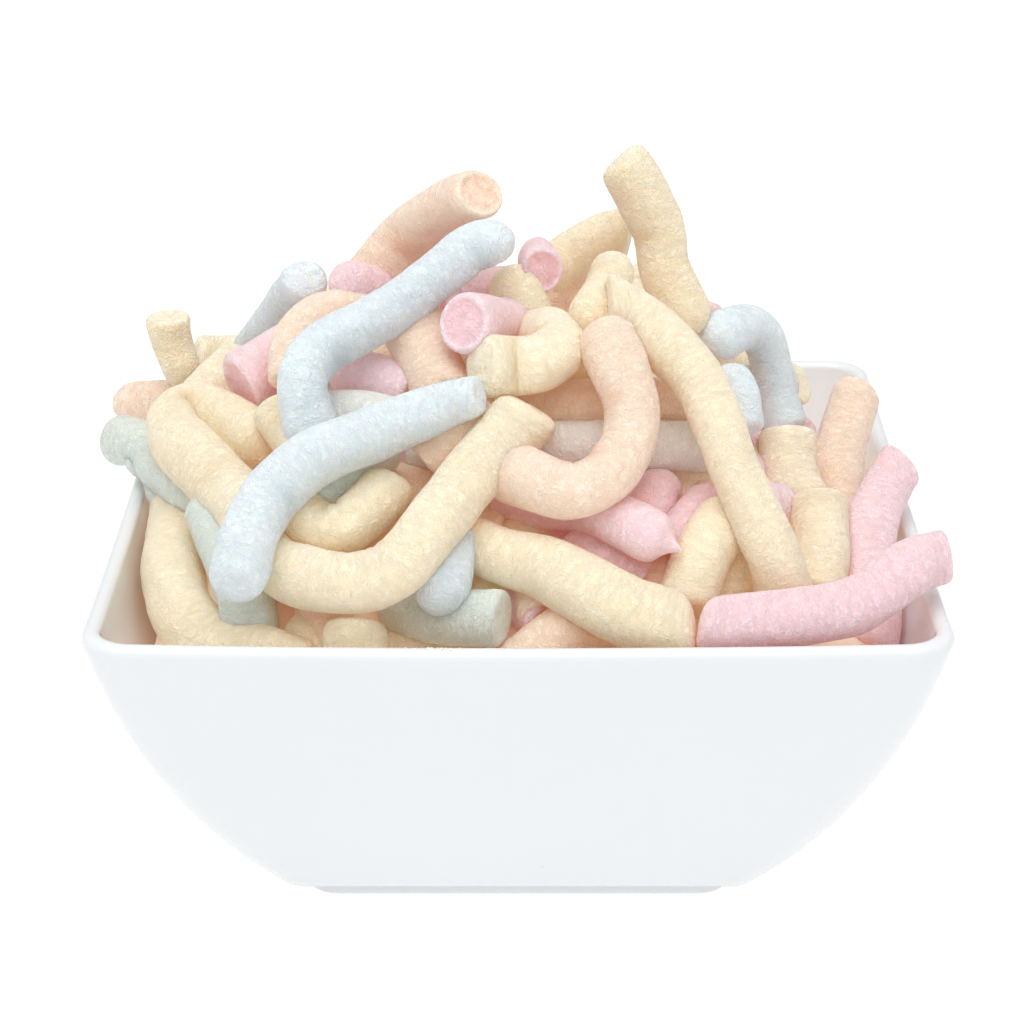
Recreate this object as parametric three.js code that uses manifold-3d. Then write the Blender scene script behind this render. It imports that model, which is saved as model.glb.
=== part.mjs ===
// A square white porcelain bowl heaped with freeze-dried candy ropes.
// Millimetres, +Z up. The origin is the middle of the foot's underside, +X goes to the right and
// +Y away from whoever looks at the bowl's front.
import * as THREE from 'three';
import { mergeVertices } from 'three/addons/utils/BufferGeometryUtils.js';
import Module from 'manifold-3d';

const wasm = await Module();
wasm.setup();

// ---------- driving dimensions ----------
const rimWidth = 137.5;        // outside
const bowlHeight = 61.9;
const wall = 2.9;              // at the rim; it grows downwards
const wallGrow = 1.6;
const rimRound = 1.45;         // the rim's edge is almost a half round
const rimSag = 0.7;            // the rim is this much lower between its corners
const sideRadius = 135;        // each side is an arc in section ...
const sideCentreUp = 28.65;    // ... about a point this far above the rim
const footHeight = 2.35;
const footHalf = 36.3;
const floorHeight = 7.5;       // of the bowl's inside floor over the table
const rimCorner = 8;           // corner radius seen from above
const footCorner = 5;
const heapClearance = 0.4;     // between candy and porcelain
const moundPeak = 30;          // of the heap's core over the rim
const candyPress = 0.94;       // ropes that touch press into each other a little
const lineStep = 3;            // spacing of the points that a rope's line is worked out on
const settleRounds = 120;
const pinchBlock = 1.2;

// ---------- the candy ropes ----------
// The front half is laid out on the front view: an eye in front of the bowl and above its rim,
// looking down at it. A point there is across, down and its depth behind the bowl's middle in mm.
const frontView = { tilt: 22.114, distance: 476, height: 188.4, focal: 2898, across: 518, down: 512 };
const shownRopes = {
  blueFront: ['blue', 9.6,
    [[235, 586, -60], [244, 560, -56], [254, 526, -51], [273, 492, -46], [315, 458, -42],
      [375, 433, -38], [430, 410, -35], [480, 393, -33]]],
  lemonSmile: ['lemon', 10.2,
    [[262, 552, -45], [292, 574, -51], [345, 584, -55], [395, 568, -54], [430, 528, -49],
      [464, 486, -42], [500, 445, -36], [533, 408, -31]]],
  lemonCurl: ['lemon', 9,
    [[394, 482, -38], [370, 508, -43], [344, 528, -46], [318, 528, -45], [296, 508, -42],
      [276, 488, -38]]],
  lemonElbow: ['lemon', 10.6,
    [[180, 478, 2], [177, 525, -14], [172, 572, -30], [184, 614, -43], [215, 646, -51],
      [262, 657, -55], [302, 672, -56]]],
  lemonLoop: ['lemon', 11,
    [[272, 556, -42], [246, 514, -32], [210, 472, -18], [179, 440, -6], [176, 418, 0], [201, 413, 0],
      [234, 428, -7], [268, 456, -16]]],
  mintLeft: ['mint', 9.6, [[120, 441, 10], [152, 463, 1], [188, 488, -11], [218, 503, -18]]],
  mintLeftLow: ['mint', 6.4, [[134, 474, 2], [166, 492, -5], [206, 504, -13]]],
  mintCorner: ['mint', 9.6, [[210, 514, -25], [226, 545, -34], [243, 590, -45], [250, 630, -48]]],
  peachFarLeft: ['peach', 8.2, [[116, 406, 32], [150, 402, 30], [205, 404, 28]]],
  lemonStub: ['lemon', 8.2, [[169, 316, 27], [172, 340, 27], [180, 364, 26], [186, 386, 25]]],
  creamBack: ['lemon', 8.6, [[196, 358, 42], [225, 357, 42], [268, 356, 38]]],
  lemonBehindPink: ['lemon', 9.8, [[240, 366, 20], [219, 386, 14], [200, 410, 10]]],
  pinkLeft: ['pink', 9.8, [[240, 389, -4], [258, 370, -1], [276, 354, 2], [300, 340, 6]]],
  blueStick: ['blue', 8.4, [[307, 278, 8], [298, 290, 14], [283, 312, 20], [252, 354, 28]]],
  peachLeft: ['peach', 9.4, [[368, 314, 0], [322, 320, -4], [299, 342, -8], [296, 380, -13]]],
  blueBig: ['blue', 9,
    [[513, 252, -12], [497, 245, -11], [472, 249, -11], [437, 277, -13], [400, 306, -16],
      [358, 328, -20], [324, 347, -23], [305, 374, -27], [305, 404, -29], [314, 434, -31]]],
  peachTop: ['peach', 9.6,
    [[481, 193, -6], [468, 197, -3], [449, 206, 1], [428, 217, 5], [408, 235, 8], [388, 260, 8],
      [358, 294, 8]]],
  pinkTopLeft: ['pink', 8.6, [[334, 284, -2], [358, 286, 1], [390, 296, 5]]],
  pinkTopRight: ['pink', 8.2, [[543, 270, -8], [541, 265, 0], [538, 260, 8]]],
  lemonTuck: ['lemon', 10.2, [[510, 268, -6], [515, 290, -8], [524, 316, -10], [536, 338, -12]]],
  lemonHook: ['lemon', 9.8,
    [[481, 365, -30], [508, 366, -28], [540, 363, -28], [558, 350, -24], [552, 338, -18],
      [534, 338, -12], [512, 342, -8]]],
  pinkMid: ['pink', 9.8, [[462, 324, -25], [484, 324, -17], [508, 324, -8]]],
  pinkMidBack: ['pink', 8.8, [[450, 296, -2], [480, 292, 0], [515, 292, 4]]],
  peachMid: ['peach', 10.4, [[412, 322, -12], [430, 362, -18], [448, 402, -25]]],
  peachMidLow: ['peach', 9.2, [[488, 414, -28], [452, 436, -32], [424, 462, -34]]],
  mintMidLeft: ['white', 9, [[318, 418, -22], [362, 416, -24], [402, 424, -26]]],
  mintGap: ['mint', 9, [[318, 506, -40], [352, 468, -36], [388, 444, -32]]],
  peachRing: ['peach', 10.6,
    [[606, 336, -22], [619, 368, -27], [631, 408, -32], [627, 444, -37], [608, 475, -41],
      [578, 490, -43], [545, 486, -41], [510, 470, -35]]],
  lemonBig: ['lemon', 9.8,
    [[608, 303, -22], [636, 318, -23], [666, 343, -26], [698, 382, -31], [720, 430, -38],
      [735, 470, -42], [756, 518, -47], [775, 562, -50], [787, 604, -50]]],
  pinkFront: ['pink', 9.4,
    [[700, 626, -61], [772, 620, -61], [832, 612, -59], [864, 600, -57], [894, 580, -54],
      [920, 564, -51], [947, 556, -48]]],
  pinkRight: ['pink', 9.6,
    [[880, 655, -46], [869, 590, -36], [868, 540, -26], [879, 502, -17], [902, 461, -9]]],
  peachRight: ['peach', 9.8, [[861, 380, 18], [851, 412, 13], [839, 455, 6], [834, 520, -6]]],
  lemonRightHigh: ['lemon', 10.6, [[786, 432, -4], [789, 468, -9], [803, 508, -15]]],
  lemonRightLow: ['lemon', 10.2, [[819, 500, -20], [821, 545, -31], [815, 600, -42]]],
  blueArch: ['blue', 8.6,
    [[711, 350, -2], [723, 334, 2], [745, 327, 8], [763, 338, 11], [771, 362, 12], [777, 392, 11],
      [786, 430, 8]]],
  blueSmall: ['blue', 7.6, [[720, 368, -4], [736, 392, -8], [744, 432, -13]]],
  lemonTip: ['lemon', 8.2, [[800, 382, 34], [768, 386, 36], [730, 386, 34]]],
  lemonUnderArch: ['lemon', 8.6, [[752, 372, 22], [725, 378, 18], [700, 385, 12]]],
  lemonTall: ['lemon', 9.6,
    [[620, 158, 8], [642, 193, 8], [659, 232, 7], [664, 268, 5], [680, 302, 3], [698, 334, 1]]],
  lemonDiagonal: ['lemon', 9, [[631, 233, 19], [600, 241, 18], [572, 256, 17], [546, 272, 15]]],
  lemonPeak: ['lemon', 8.4,
    [[612, 252, -8], [612, 276, -11], [600, 298, -15], [590, 318, -19], [588, 336, -22]]],
  lemonLong: ['lemon', 10.4,
    [[455, 533, -44], [500, 555, -49], [550, 570, -52], [600, 598, -56], [645, 618, -58],
      [694, 632, -59]]],
  mintTip: ['blue', 9.4, [[452, 536, -44], [446, 570, -51], [438, 608, -57]]],
  mintLow: ['mint', 9.2, [[388, 606, -47], [440, 616, -53], [503, 618, -58]]],
  lemonStubFront: ['lemon', 10.6, [[356, 620, -56], [358, 690, -57]]],
  lemonDeepLeft: ['lemon', 9, [[300, 632, -48], [316, 646, -51], [330, 676, -52]]],
  pinkLong: ['pink', 9,
    [[496, 492, -36], [540, 507, -40], [580, 510, -43], [612, 517, -47], [640, 531, -51],
      [671, 546, -55]]],
  pinkUnder: ['pink', 8.6, [[575, 548, -42], [605, 560, -46], [640, 578, -48]]],
  pinkDeepA: ['pink', 8.6, [[656, 486, -32], [648, 508, -38], [630, 540, -42]]],
  pinkDeepB: ['pink', 8.6, [[712, 502, -36], [692, 518, -40], [668, 548, -44]]],
  whiteCross: ['white', 8.8,
    [[412, 446, -28], [480, 448, -29], [560, 446, -29], [640, 446, -28], [712, 446, -26]]],
  orangeDeep: ['peach', 8.8, [[520, 405, -20], [580, 405, -20], [640, 402, -19], [700, 402, -18]]],
  lemonShade: ['lemon', 8.6, [[560, 372, -14], [600, 374, -14], [650, 376, -14]]],
  peachLowRight: ['lemon', 9.8, [[726, 518, -38], [702, 555, -45], [684, 610, -51]]],
  lemonShadow: ['lemon', 9, [[748, 535, -40], [734, 570, -46], [722, 606, -49]]],
  peachLow: ['peach', 9.6, [[516, 668, -58], [560, 634, -56], [610, 616, -50]]],
  pinkLow: ['pink', 8.6, [[500, 590, -42], [520, 606, -46], [545, 620, -50]]],
  peachGap: ['peach', 8.8, [[640, 560, -42], [658, 584, -47], [690, 606, -50]]],
  pinkShade: ['pink', 9, [[345, 372, -12], [375, 378, -16], [412, 392, -20]]],
  lemonDark: ['lemon', 8.8, [[276, 408, -16], [288, 430, -19], [305, 455, -25]]],
  peachShade: ['lemon', 8.8, [[372, 345, -8], [392, 372, -12], [404, 402, -17]]],
};
const hiddenRopes = {
  backSweep: ['lemon', 9.8, 13, [[-44, 36], [-26, 47], [-6, 50], [14, 46], [26, 36]]],
  backPink: ['pink', 9.2, 9, [[34, 14], [30, 26], [20, 40], [2, 58]]],
  backBlue: ['blue', 9, 9, [[-44, 14], [-38, 26], [-30, 40], [-30, 58]]],
  backPeach: ['peach', 10.2, 9, [[-22, 22], [-16, 32], [-2, 36], [8, 30], [8, 20]]],
  backLemonHigh: ['lemon', 9.6, 6, [[-16, 12], [-4, 20], [12, 22], [24, 16]]],
  backMint: ['mint', 9.2, 4, [[42, 12], [46, 24], [38, 38]]],
  backWhite: ['white', 8.8, 5, [[-40, 30], [-20, 38], [4, 44], [30, 42]]],
  backLemonLow: ['lemon', 10, 7, [[-54, 46], [-40, 54], [-18, 57], [4, 57]]],
  backPinkLow: ['pink', 9.4, 0, [[12, 57], [30, 54], [44, 44], [54, 30]]],
  backBlueLow: ['blue', 9, 2, [[18, 32], [32, 36], [44, 34]]],
  backCream: ['lemon', 9.2, 4, [[-30, 8], [-20, 24], [-2, 30]]],
  backCreamRight: ['lemon', 9.4, 5, [[18, 10], [28, 24], [22, 44]]],
  backPinkStub: ['pink', 9.6, 17, [[-14, 42], [-6, 52], [2, 66]]],
  backStubLeft: ['mint', 9, 6, [[-36, 10], [-46, 20], [-50, 34]]],
  backLoopRight: ['lemon', 9.4, 11, [[10, 60], [24, 58], [34, 48], [30, 36], [18, 34]]],
  topStub: ['pink', 9, 9, [[-26, 4], [-14, 8], [0, 12]]],
  sidePink: ['pink', 9, 6, [[-52, 4], [-46, 14], [-38, 24]]],
};


// ---------- the bowl ----------
const { hypot, sqrt, abs, min, max, cos, sin, exp, log, PI } = Math;

// The side arc's centre lies past the bowl's middle, so that the rim comes out at its full width.
const sideCentreOut = rimWidth / 2 - sqrt(sideRadius ** 2 - (rimRound + sideCentreUp) ** 2);

// Half width of a side, inset by some thickness, at a height over the rim (below it is negative).
function sideHalf(height, inset) {
  const reach = sideRadius - inset;
  return sideCentreOut + sqrt(reach * reach - (height - sideCentreUp) ** 2);
}

// One rounded square ring of the loft, lower by sag in the middle of its sides. Its height is a
// number or a function of the place.
function squareRing(half, corner, sag, height) {
  const ring = [];
  const sideSteps = 4;
  const cornerSteps = 5;
  const flat = half - corner;
  for (let side = 0; side < 4; side += 1) {
    const turn = (side * PI) / 2;
    const place = (outward, along, drop) => {
      const x = outward * cos(turn) - along * sin(turn);
      const y = outward * sin(turn) + along * cos(turn);
      const z = typeof height === 'function' ? height(x, y) : height;
      ring.push(new THREE.Vector3(x, y, z - drop));
    };
    for (let k = 0; k < sideSteps; k += 1) {
      const along = -flat + (2 * flat * k) / sideSteps;
      place(half, along, sag * (1 - (along / flat) ** 2));
    }
    for (let k = 0; k < cornerSteps; k += 1) {
      const angle = (k / cornerSteps) * (PI / 2);
      place(flat + corner * cos(angle), flat + corner * sin(angle), 0);
    }
  }
  return ring;
}

// A closed skin over a stack of rings, its first and last ring capped by a fan.
function loft(rings) {
  const count = rings[0].length;
  const points = rings.flat();
  const faces = [];
  for (let r = 0; r + 1 < rings.length; r += 1) {
    for (let k = 0; k < count; k += 1) {
      const a = r * count + k;
      const b = r * count + ((k + 1) % count);
      faces.push([a, b, b + count], [a, b + count, a + count]);
    }
  }
  for (const [start, flip] of [[0, true], [(rings.length - 1) * count, false]]) {
    const middle = new THREE.Vector3();
    for (let k = 0; k < count; k += 1) middle.add(points[start + k]);
    points.push(middle.divideScalar(count));
    for (let k = 0; k < count; k += 1) {
      const pair = [start + k, start + ((k + 1) % count)];
      faces.push(flip ? [points.length - 1, pair[1], pair[0]] : [points.length - 1, pair[0], pair[1]]);
    }
  }
  return solidOf(points.flatMap((p) => p.toArray()), faces.flat());
}

function solidOf(coordinates, indices) {
  return new wasm.Manifold(new wasm.Mesh({
    numProp: 3, vertProperties: Float32Array.from(coordinates), triVerts: Uint32Array.from(indices),
  }));
}

function rise(height) {       // share of the bowl's height
  return (height + bowlHeight) / bowlHeight;
}
function cornerAt(height) {
  return footCorner + (rimCorner - footCorner) * rise(height);
}
function sagAt(height) {
  return rimSag * rise(height) ** 3;
}
function outerRing(height, inset = 0) {
  return squareRing(sideHalf(height, inset), cornerAt(height) - inset * 0.6, sagAt(height),
    bowlHeight + height);
}
function wallAt(height) {
  return wall - wallGrow * (height / bowlHeight);
}

// The bowl's shell, grown on all sides by extra.
function bowlSolid(extra = 0) {
  const footRing = (inset, height, corner = footCorner) => squareRing(footHalf - inset, corner, 0, height);
  const rings = [
    footRing(4, -extra, footCorner - 3),
    footRing(0.6 - extra, -extra),
    footRing(-extra, 0.6),
    footRing(-extra, footHeight - 0.3),
    footRing(-0.5 - extra, footHeight),
    footRing(-2 - extra, footHeight + 0.6),
  ];
  const bodyBottom = 5.6 - bowlHeight;
  const bodySteps = 11;
  for (let k = 0; k <= bodySteps; k += 1) {
    rings.push(outerRing(bodyBottom + (-rimRound - bodyBottom) * (k / bodySteps), -extra));
  }
  const roundSteps = 5;
  for (let k = 1; k <= roundSteps; k += 1) {      // over the rim to its inside
    const angle = PI * (k / (roundSteps + 1));
    const inset = wall / 2 - (wall / 2 + extra) * cos(angle);
    const over = (rimRound + extra) * sin(angle);
    rings.push(outerRing(-rimRound, inset).map((p) => p.setZ(p.z + over)));
  }
  const insideBottom = floorHeight - bowlHeight + 5;
  const insideSteps = 8;
  for (let k = 0; k <= insideSteps; k += 1) {
    const height = -rimRound + (insideBottom + rimRound) * (k / insideSteps);
    rings.push(outerRing(height, wallAt(height) + extra));
  }
  const lastHalf = sideHalf(insideBottom, wallAt(insideBottom) + extra);
  for (const [inward, up] of [[3, 2.2], [8, 0.5], [16, 0]]) {
    rings.push(squareRing(lastHalf - inward, footCorner - inward / 8, 0, floorHeight + up + extra));
  }
  return loft(rings);
}

// ---------- the heap's form ----------
// Height of the core over the rim: four slopes and a flat top, blended.
function mound(x, back) {
  const slopes = [-12 + (62 + back) * 0.78, -12 + (62 - back) * 0.72, -9 + (63 - abs(x)) * 0.88,
    moundPeak];
  const blend = 3.5;
  return -blend * log(slopes.reduce((sum, slope) => sum + exp(-slope / blend), 0));
}

function coreSolid() {
  const heapTop = (x, y) => bowlHeight + mound(x, y);
  const edgeHalf = 60.6;
  const rings = [];
  const bottom = floorHeight + 1 - bowlHeight;
  const downSteps = 7;
  for (let k = 0; k <= downSteps; k += 1) {
    const height = bottom + (-19 - bottom) * (k / downSteps);
    const narrow = k === 0 ? 15 : (k === 1 ? 3 : 0);
    const half = sideHalf(height, wallAt(height) + heapClearance + 0.3) - narrow;
    rings.push(squareRing(half, cornerAt(height) - 1.5, 0, bowlHeight + height));
  }
  const topSteps = 9;
  for (let k = 0; k < topSteps; k += 1) {
    const share = 1 - k / topSteps;
    rings.push(squareRing(edgeHalf * share, 6.5 * share, 0, heapTop));
  }
  return loft(rings);
}

// ---------- laying the ropes ----------
function fromFrontView([across, down, back]) {
  const tilt = (frontView.tilt * PI) / 180;
  const u = (across - frontView.across) / frontView.focal;
  const v = (down - frontView.down) / frontView.focal;
  const reach = (back + frontView.distance) / (cos(tilt) - v * sin(tilt));
  return new THREE.Vector3(u * reach, back,
    bowlHeight + frontView.height - (sin(tilt) + v * cos(tilt)) * reach);
}

// The heap's outward direction at a point of its surface.
function outwardAt(x, back) {
  const h = 0.5;
  const slopeX = (mound(x + h, back) - mound(x - h, back)) / (2 * h);
  const slopeY = (mound(x, back + h) - mound(x, back - h)) / (2 * h);
  return new THREE.Vector3(-slopeX, -slopeY, 1).normalize();
}

// Even points along a smooth line through the given ones, by uniform Catmull-Rom pieces.
function evenLine(corners) {
  const given = corners.length > 2 ? corners
    : [corners[0], corners[0].clone().lerp(corners[1], 0.5), corners[1]];
  const last = given.length - 1;
  const before = given[0].clone().multiplyScalar(2).sub(given[1]);
  const after = given[last].clone().multiplyScalar(2).sub(given[last - 1]);
  const knots = [before, ...given, after];
  const fine = [];
  const pieces = 12;
  for (let i = 1; i < knots.length - 2; i += 1) {
    const [a, b, c, d] = [knots[i - 1], knots[i], knots[i + 1], knots[i + 2]];
    for (let k = 0; k < pieces; k += 1) {
      const t = k / pieces;
      fine.push(new THREE.Vector3(...['x', 'y', 'z'].map((axis) => 0.5 * (2 * b[axis]
        + (c[axis] - a[axis]) * t + (2 * a[axis] - 5 * b[axis] + 4 * c[axis] - d[axis]) * t * t
        + (3 * b[axis] - a[axis] - 3 * c[axis] + d[axis]) * t * t * t))));
    }
  }
  fine.push(given[last].clone());
  const run = [0];
  for (let i = 1; i < fine.length; i += 1) run.push(run[i - 1] + fine[i].distanceTo(fine[i - 1]));
  const count = max(4, Math.round(run[run.length - 1] / lineStep) + 1);
  const even = [];
  let at = 0;
  for (let k = 0; k < count; k += 1) {
    const target = (run[run.length - 1] * k) / (count - 1);
    while (at < run.length - 2 && run[at + 1] < target) at += 1;
    const share = (target - run[at]) / (run[at + 1] - run[at]);
    even.push(fine[at].clone().lerp(fine[at + 1], share));
  }
  return even;
}

function layRopes() {
  const eye = new THREE.Vector3(0, -frontView.distance, bowlHeight + frontView.height);
  const ropes = [];
  for (const [name, [tint, thick, corners]] of Object.entries(shownRopes)) {
    const line = evenLine(corners.map(fromFrontView));
    const inward = line.map((p) => p.clone().sub(eye).normalize());
    ropes.push({ name, tint, radius: thick / 2, line, inward, rank: 0 });
  }
  for (const [name, [tint, thick, lift, corners]] of Object.entries(hiddenRopes)) {
    const line = evenLine(corners.map(([x, back]) => new THREE.Vector3(x, back,
      bowlHeight + mound(x, back) + lift)));
    const inward = line.map((p) => outwardAt(p.x, p.y).negate());
    ropes.push({ name, tint, radius: thick / 2, line, inward, rank: 1 });
  }
  return ropes;
}

// Keeps a rope's centre clear of the porcelain: off the inside of a side, and off the rim.
function clearOfBowl(point, radius) {
  const middleRadius = sideRadius - wall / 2;
  const rimAngle = Math.atan2(-rimRound - sideCentreUp, sideHalf(-rimRound, wall / 2) - sideCentreOut);
  for (const axis of ['x', 'y']) {
    const out = abs(point[axis]) - sideCentreOut;
    const up = point.z - bowlHeight - sideCentreUp;
    const angle = Math.atan2(up, out);
    const need = radius + wall / 2 + heapClearance + 0.2;
    let fromX = sideCentreOut + middleRadius * cos(min(angle, rimAngle));
    const fromZ = bowlHeight + sideCentreUp + middleRadius * sin(min(angle, rimAngle));
    const thicker = angle < rimAngle ? (wallGrow / 2) * (bowlHeight - fromZ) / bowlHeight : 0;
    fromX -= thicker;
    const dx = abs(point[axis]) - fromX;
    const dz = point.z - fromZ;
    const inside = angle < rimAngle && dx > 0 ? -1 : 1;
    const gap = hypot(dx, dz) * inside;
    if (gap < need) {
      const scale = (need - gap) / max(hypot(dx, dz), 1e-6) * inside;
      point[axis] += Math.sign(point[axis]) * dx * scale;
      point.z += dz * scale;
    }
  }
}

// How far a rope of the front half is into the bowl's front side (or, negative, its back side).
function offWall(p) {
  if (p.rank > 0 || p.at.z > bowlHeight + p.radius * 0.2) return 0;
  const room = sideHalf(min(p.at.z - bowlHeight, -1), wall) - p.radius - 0.5;
  return max(-p.at.y - room, 0) - max(p.at.y - room, 0);
}

// Moves ropes that cross one another apart, the front half along the line of sight and the
// hidden half square to the heap. A rope of lower rank stays, and one of higher rank gives way.
function settle(ropes) {
  const points = ropes.flatMap((rope, index) => rope.line.map((base, k) => ({
    base, inward: rope.inward[k], radius: rope.radius, rank: rope.rank, rope: index, shift: 0,
    isTip: min(k, rope.line.length - 1 - k) * lineStep < rope.radius * 0.8, at: base.clone() })));
  let pairs = [];
  for (let round = 0; round < settleRounds; round += 1) {
    if (round % 20 === 0) {
      pairs = [];
      for (const a of points) {
        for (const b of points) {
          const apart = a.rope !== b.rope && a.rank >= b.rank && !a.isTip && !b.isTip;
          if (apart && a.at.distanceToSquared(b.at) < 400) {
            pairs.push([a, b, a.rank === b.rank ? 0.5 : 1]);
          }
        }
      }
    }
    for (const p of points) { p.forth = 0; p.back = 0; }
    for (const [a, b, share] of pairs) {
      const dx = a.at.x - b.at.x;
      const dy = a.at.y - b.at.y;
      const dz = a.at.z - b.at.z;
      const along = dx * a.inward.x + dy * a.inward.y + dz * a.inward.z;
      const beside = sqrt(max(dx * dx + dy * dy + dz * dz - along * along, 0));
      const reach = (a.radius + b.radius) * candyPress;
      if (beside >= reach) continue;
      const need = sqrt(reach * reach - beside * beside) - abs(along);
      if (need <= 0) continue;
      const push = need * share * sqrt(1 - beside / reach) * (along >= 0 ? 1 : -1);
      a.forth = max(a.forth, push);
      a.back = min(a.back, push);
    }
    for (const p of points) {
      p.shift = p.shift * 0.99 + (p.forth + p.back) * 0.35 + offWall(p) * 0.3;
    }
    let start = 0;
    for (const rope of ropes) {
      const own = points.slice(start, start + rope.line.length);
      start += own.length;
      for (let pass = 0; pass < 2; pass += 1) {
        const old = own.map((p) => p.shift);
        own.forEach((p, k) => {
          p.shift = 0.25 * (old[max(k - 1, 0)] + old[min(k + 1, own.length - 1)]) + 0.5 * old[k];
        });
      }
    }
    for (const p of points) p.at.copy(p.base).addScaledVector(p.inward, p.shift);
  }
  let start = 0;
  for (const rope of ropes) {
    rope.line = points.slice(start, start + rope.line.length).map((p) => p.at);
    start += rope.line.length;
    rope.line.forEach((p) => clearOfBowl(p, rope.radius));
  }
  return ropes;
}

// ---------- the ropes as solids ----------
const ropeSides = 7;
const ropeStep = 10;

function ropeSolid(rope) {
  const curve = new THREE.CatmullRomCurve3(rope.line);
  const section = new THREE.Shape();
  for (let k = 0; k < ropeSides; k += 1) {
    const angle = ((k + 0.5) / ropeSides) * 2 * PI;
    const x = rope.radius * 1.03 * cos(angle);
    const y = rope.radius * 1.03 * sin(angle);
    if (k === 0) section.moveTo(x, y); else section.lineTo(x, y);
  }
  section.closePath();
  const steps = max(2, Math.round(curve.getLength() / ropeStep));
  const tube = new THREE.ExtrudeGeometry(section, { steps, extrudePath: curve, bevelEnabled: false });
  return manifoldOf(tube);
}

function manifoldOf(geometry) {
  geometry.deleteAttribute('normal');
  geometry.deleteAttribute('uv');
  const merged = mergeVertices(geometry, 1e-4);
  return solidOf(merged.attributes.position.array, merged.index.array);
}

function geometryOf(solid) {
  const mesh = solid.getMesh();
  const geometry = new THREE.BufferGeometry();
  geometry.setAttribute('position', new THREE.BufferAttribute(new Float32Array(mesh.vertProperties), 3));
  geometry.setIndex(new THREE.BufferAttribute(new Uint32Array(mesh.triVerts), 1));
  geometry.computeVertexNormals();
  return geometry;
}

function heapSolid() {
  const ropes = settle(layRopes());
  let heap = coreSolid();
  for (const rope of ropes) heap = heap.add(ropeSolid(rope));
  heap = heap.subtract(bowlSolid(heapClearance));
  return closePinches(outerSkin(heap.simplify(0.3)));
}

// Where the skin only just touches itself along an edge, a small block joins the two sides.
function closePinches(solid) {
  let joined = solid;
  for (let round = 0; round < 4; round += 1) {
    const { vertProperties, triVerts } = joined.getMesh();
    const keyOf = (v) => [0, 1, 2].map((k) => vertProperties[3 * v + k].toFixed(4)).join(' ');
    const uses = new Map();
    for (let t = 0; t < triVerts.length; t += 3) {
      for (let k = 0; k < 3; k += 1) {
        const ends = [keyOf(triVerts[t + k]), keyOf(triVerts[t + ((k + 1) % 3)])].sort().join(' ');
        uses.set(ends, (uses.get(ends) ?? 0) + 1);
      }
    }
    const pinched = [...uses].filter(([, count]) => count !== 2).map(([ends]) => ends);
    if (pinched.length === 0) break;
    for (const ends of pinched) {
      const [a, b, c, d, e, f] = ends.split(' ').map(Number);
      const size = hypot(a - d, b - e, c - f) + pinchBlock;
      joined = joined.add(wasm.Manifold.cube([size, size, size], true)
        .rotate([20, 30, 40]).translate([(a + d) / 2, (b + e) / 2, (c + f) / 2]));
    }
    joined = outerSkin(joined);
  }
  return joined;
}

// The largest connected skin alone: hollows that the ropes close off are filled, scraps dropped.
function outerSkin(solid) {
  const { vertProperties, triVerts } = solid.getMesh();
  const parent = Array.from({ length: vertProperties.length / 3 }, (_, k) => k);
  const rootOf = (k) => {
    let root = k;
    while (parent[root] !== root) root = parent[root];
    while (parent[k] !== root) [parent[k], k] = [root, parent[k]];
    return root;
  };
  for (let t = 0; t < triVerts.length; t += 3) {
    parent[rootOf(triVerts[t + 1])] = rootOf(triVerts[t]);
    parent[rootOf(triVerts[t + 2])] = rootOf(triVerts[t]);
  }
  const skins = new Map();
  for (let t = 0; t < triVerts.length; t += 3) {
    const root = rootOf(triVerts[t]);
    if (!skins.has(root)) skins.set(root, []);
    skins.get(root).push(triVerts[t], triVerts[t + 1], triVerts[t + 2]);
  }
  const largest = [...skins.values()].sort((a, b) => b.length - a.length)[0];
  const used = [...new Set(largest)];
  const place = new Map(used.map((vertex, k) => [vertex, k]));
  return solidOf(used.flatMap((v) => [...vertProperties.slice(3 * v, 3 * v + 3)]),
    largest.map((v) => place.get(v)));
}

// ---------- the object ----------
const glaze = new THREE.MeshStandardMaterial({ color: 0xf1f4f5, roughness: 0.08, metalness: 0 });
const candy = new THREE.MeshStandardMaterial({ color: 0xf5ebd2, roughness: 0.9, metalness: 0 });

const bowl = new THREE.Mesh(geometryOf(bowlSolid()), glaze);
bowl.name = 'bowl';
const candyHeap = new THREE.Mesh(geometryOf(heapSolid()), candy);
candyHeap.name = 'candy_heap';

const object = new THREE.Group();
object.add(bowl, candyHeap);
export default object;
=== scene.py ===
import math
import bpy
import numpy as np
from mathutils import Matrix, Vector


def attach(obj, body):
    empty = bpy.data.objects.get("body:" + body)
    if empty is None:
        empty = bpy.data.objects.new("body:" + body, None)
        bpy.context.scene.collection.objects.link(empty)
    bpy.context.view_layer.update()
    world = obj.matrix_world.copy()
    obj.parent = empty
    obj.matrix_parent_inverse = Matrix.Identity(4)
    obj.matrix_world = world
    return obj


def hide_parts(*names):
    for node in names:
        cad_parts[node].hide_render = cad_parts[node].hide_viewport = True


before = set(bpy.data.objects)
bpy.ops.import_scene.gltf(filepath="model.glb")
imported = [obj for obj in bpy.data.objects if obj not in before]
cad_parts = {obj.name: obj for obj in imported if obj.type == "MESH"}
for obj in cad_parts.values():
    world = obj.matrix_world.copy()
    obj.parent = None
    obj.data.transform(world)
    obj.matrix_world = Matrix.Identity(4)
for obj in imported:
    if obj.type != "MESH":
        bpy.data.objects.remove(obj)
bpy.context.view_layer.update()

mm = 0.001

# the bowl's sizes, mm
bowlForm = {
    "rimWidth": 137.5, "height": 61.9, "wall": 2.9, "wallGrow": 1.6, "rimRound": 1.45, "rimSag": 0.7,
    "sideRadius": 135.0, "sideCentreUp": 28.65,       # a side's arc in section
    "footHeight": 2.35, "footHalf": 36.3, "floorHeight": 7.5, "rimCorner": 8.0, "footCorner": 5.0,
}
rim = bowlForm["height"]
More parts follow.
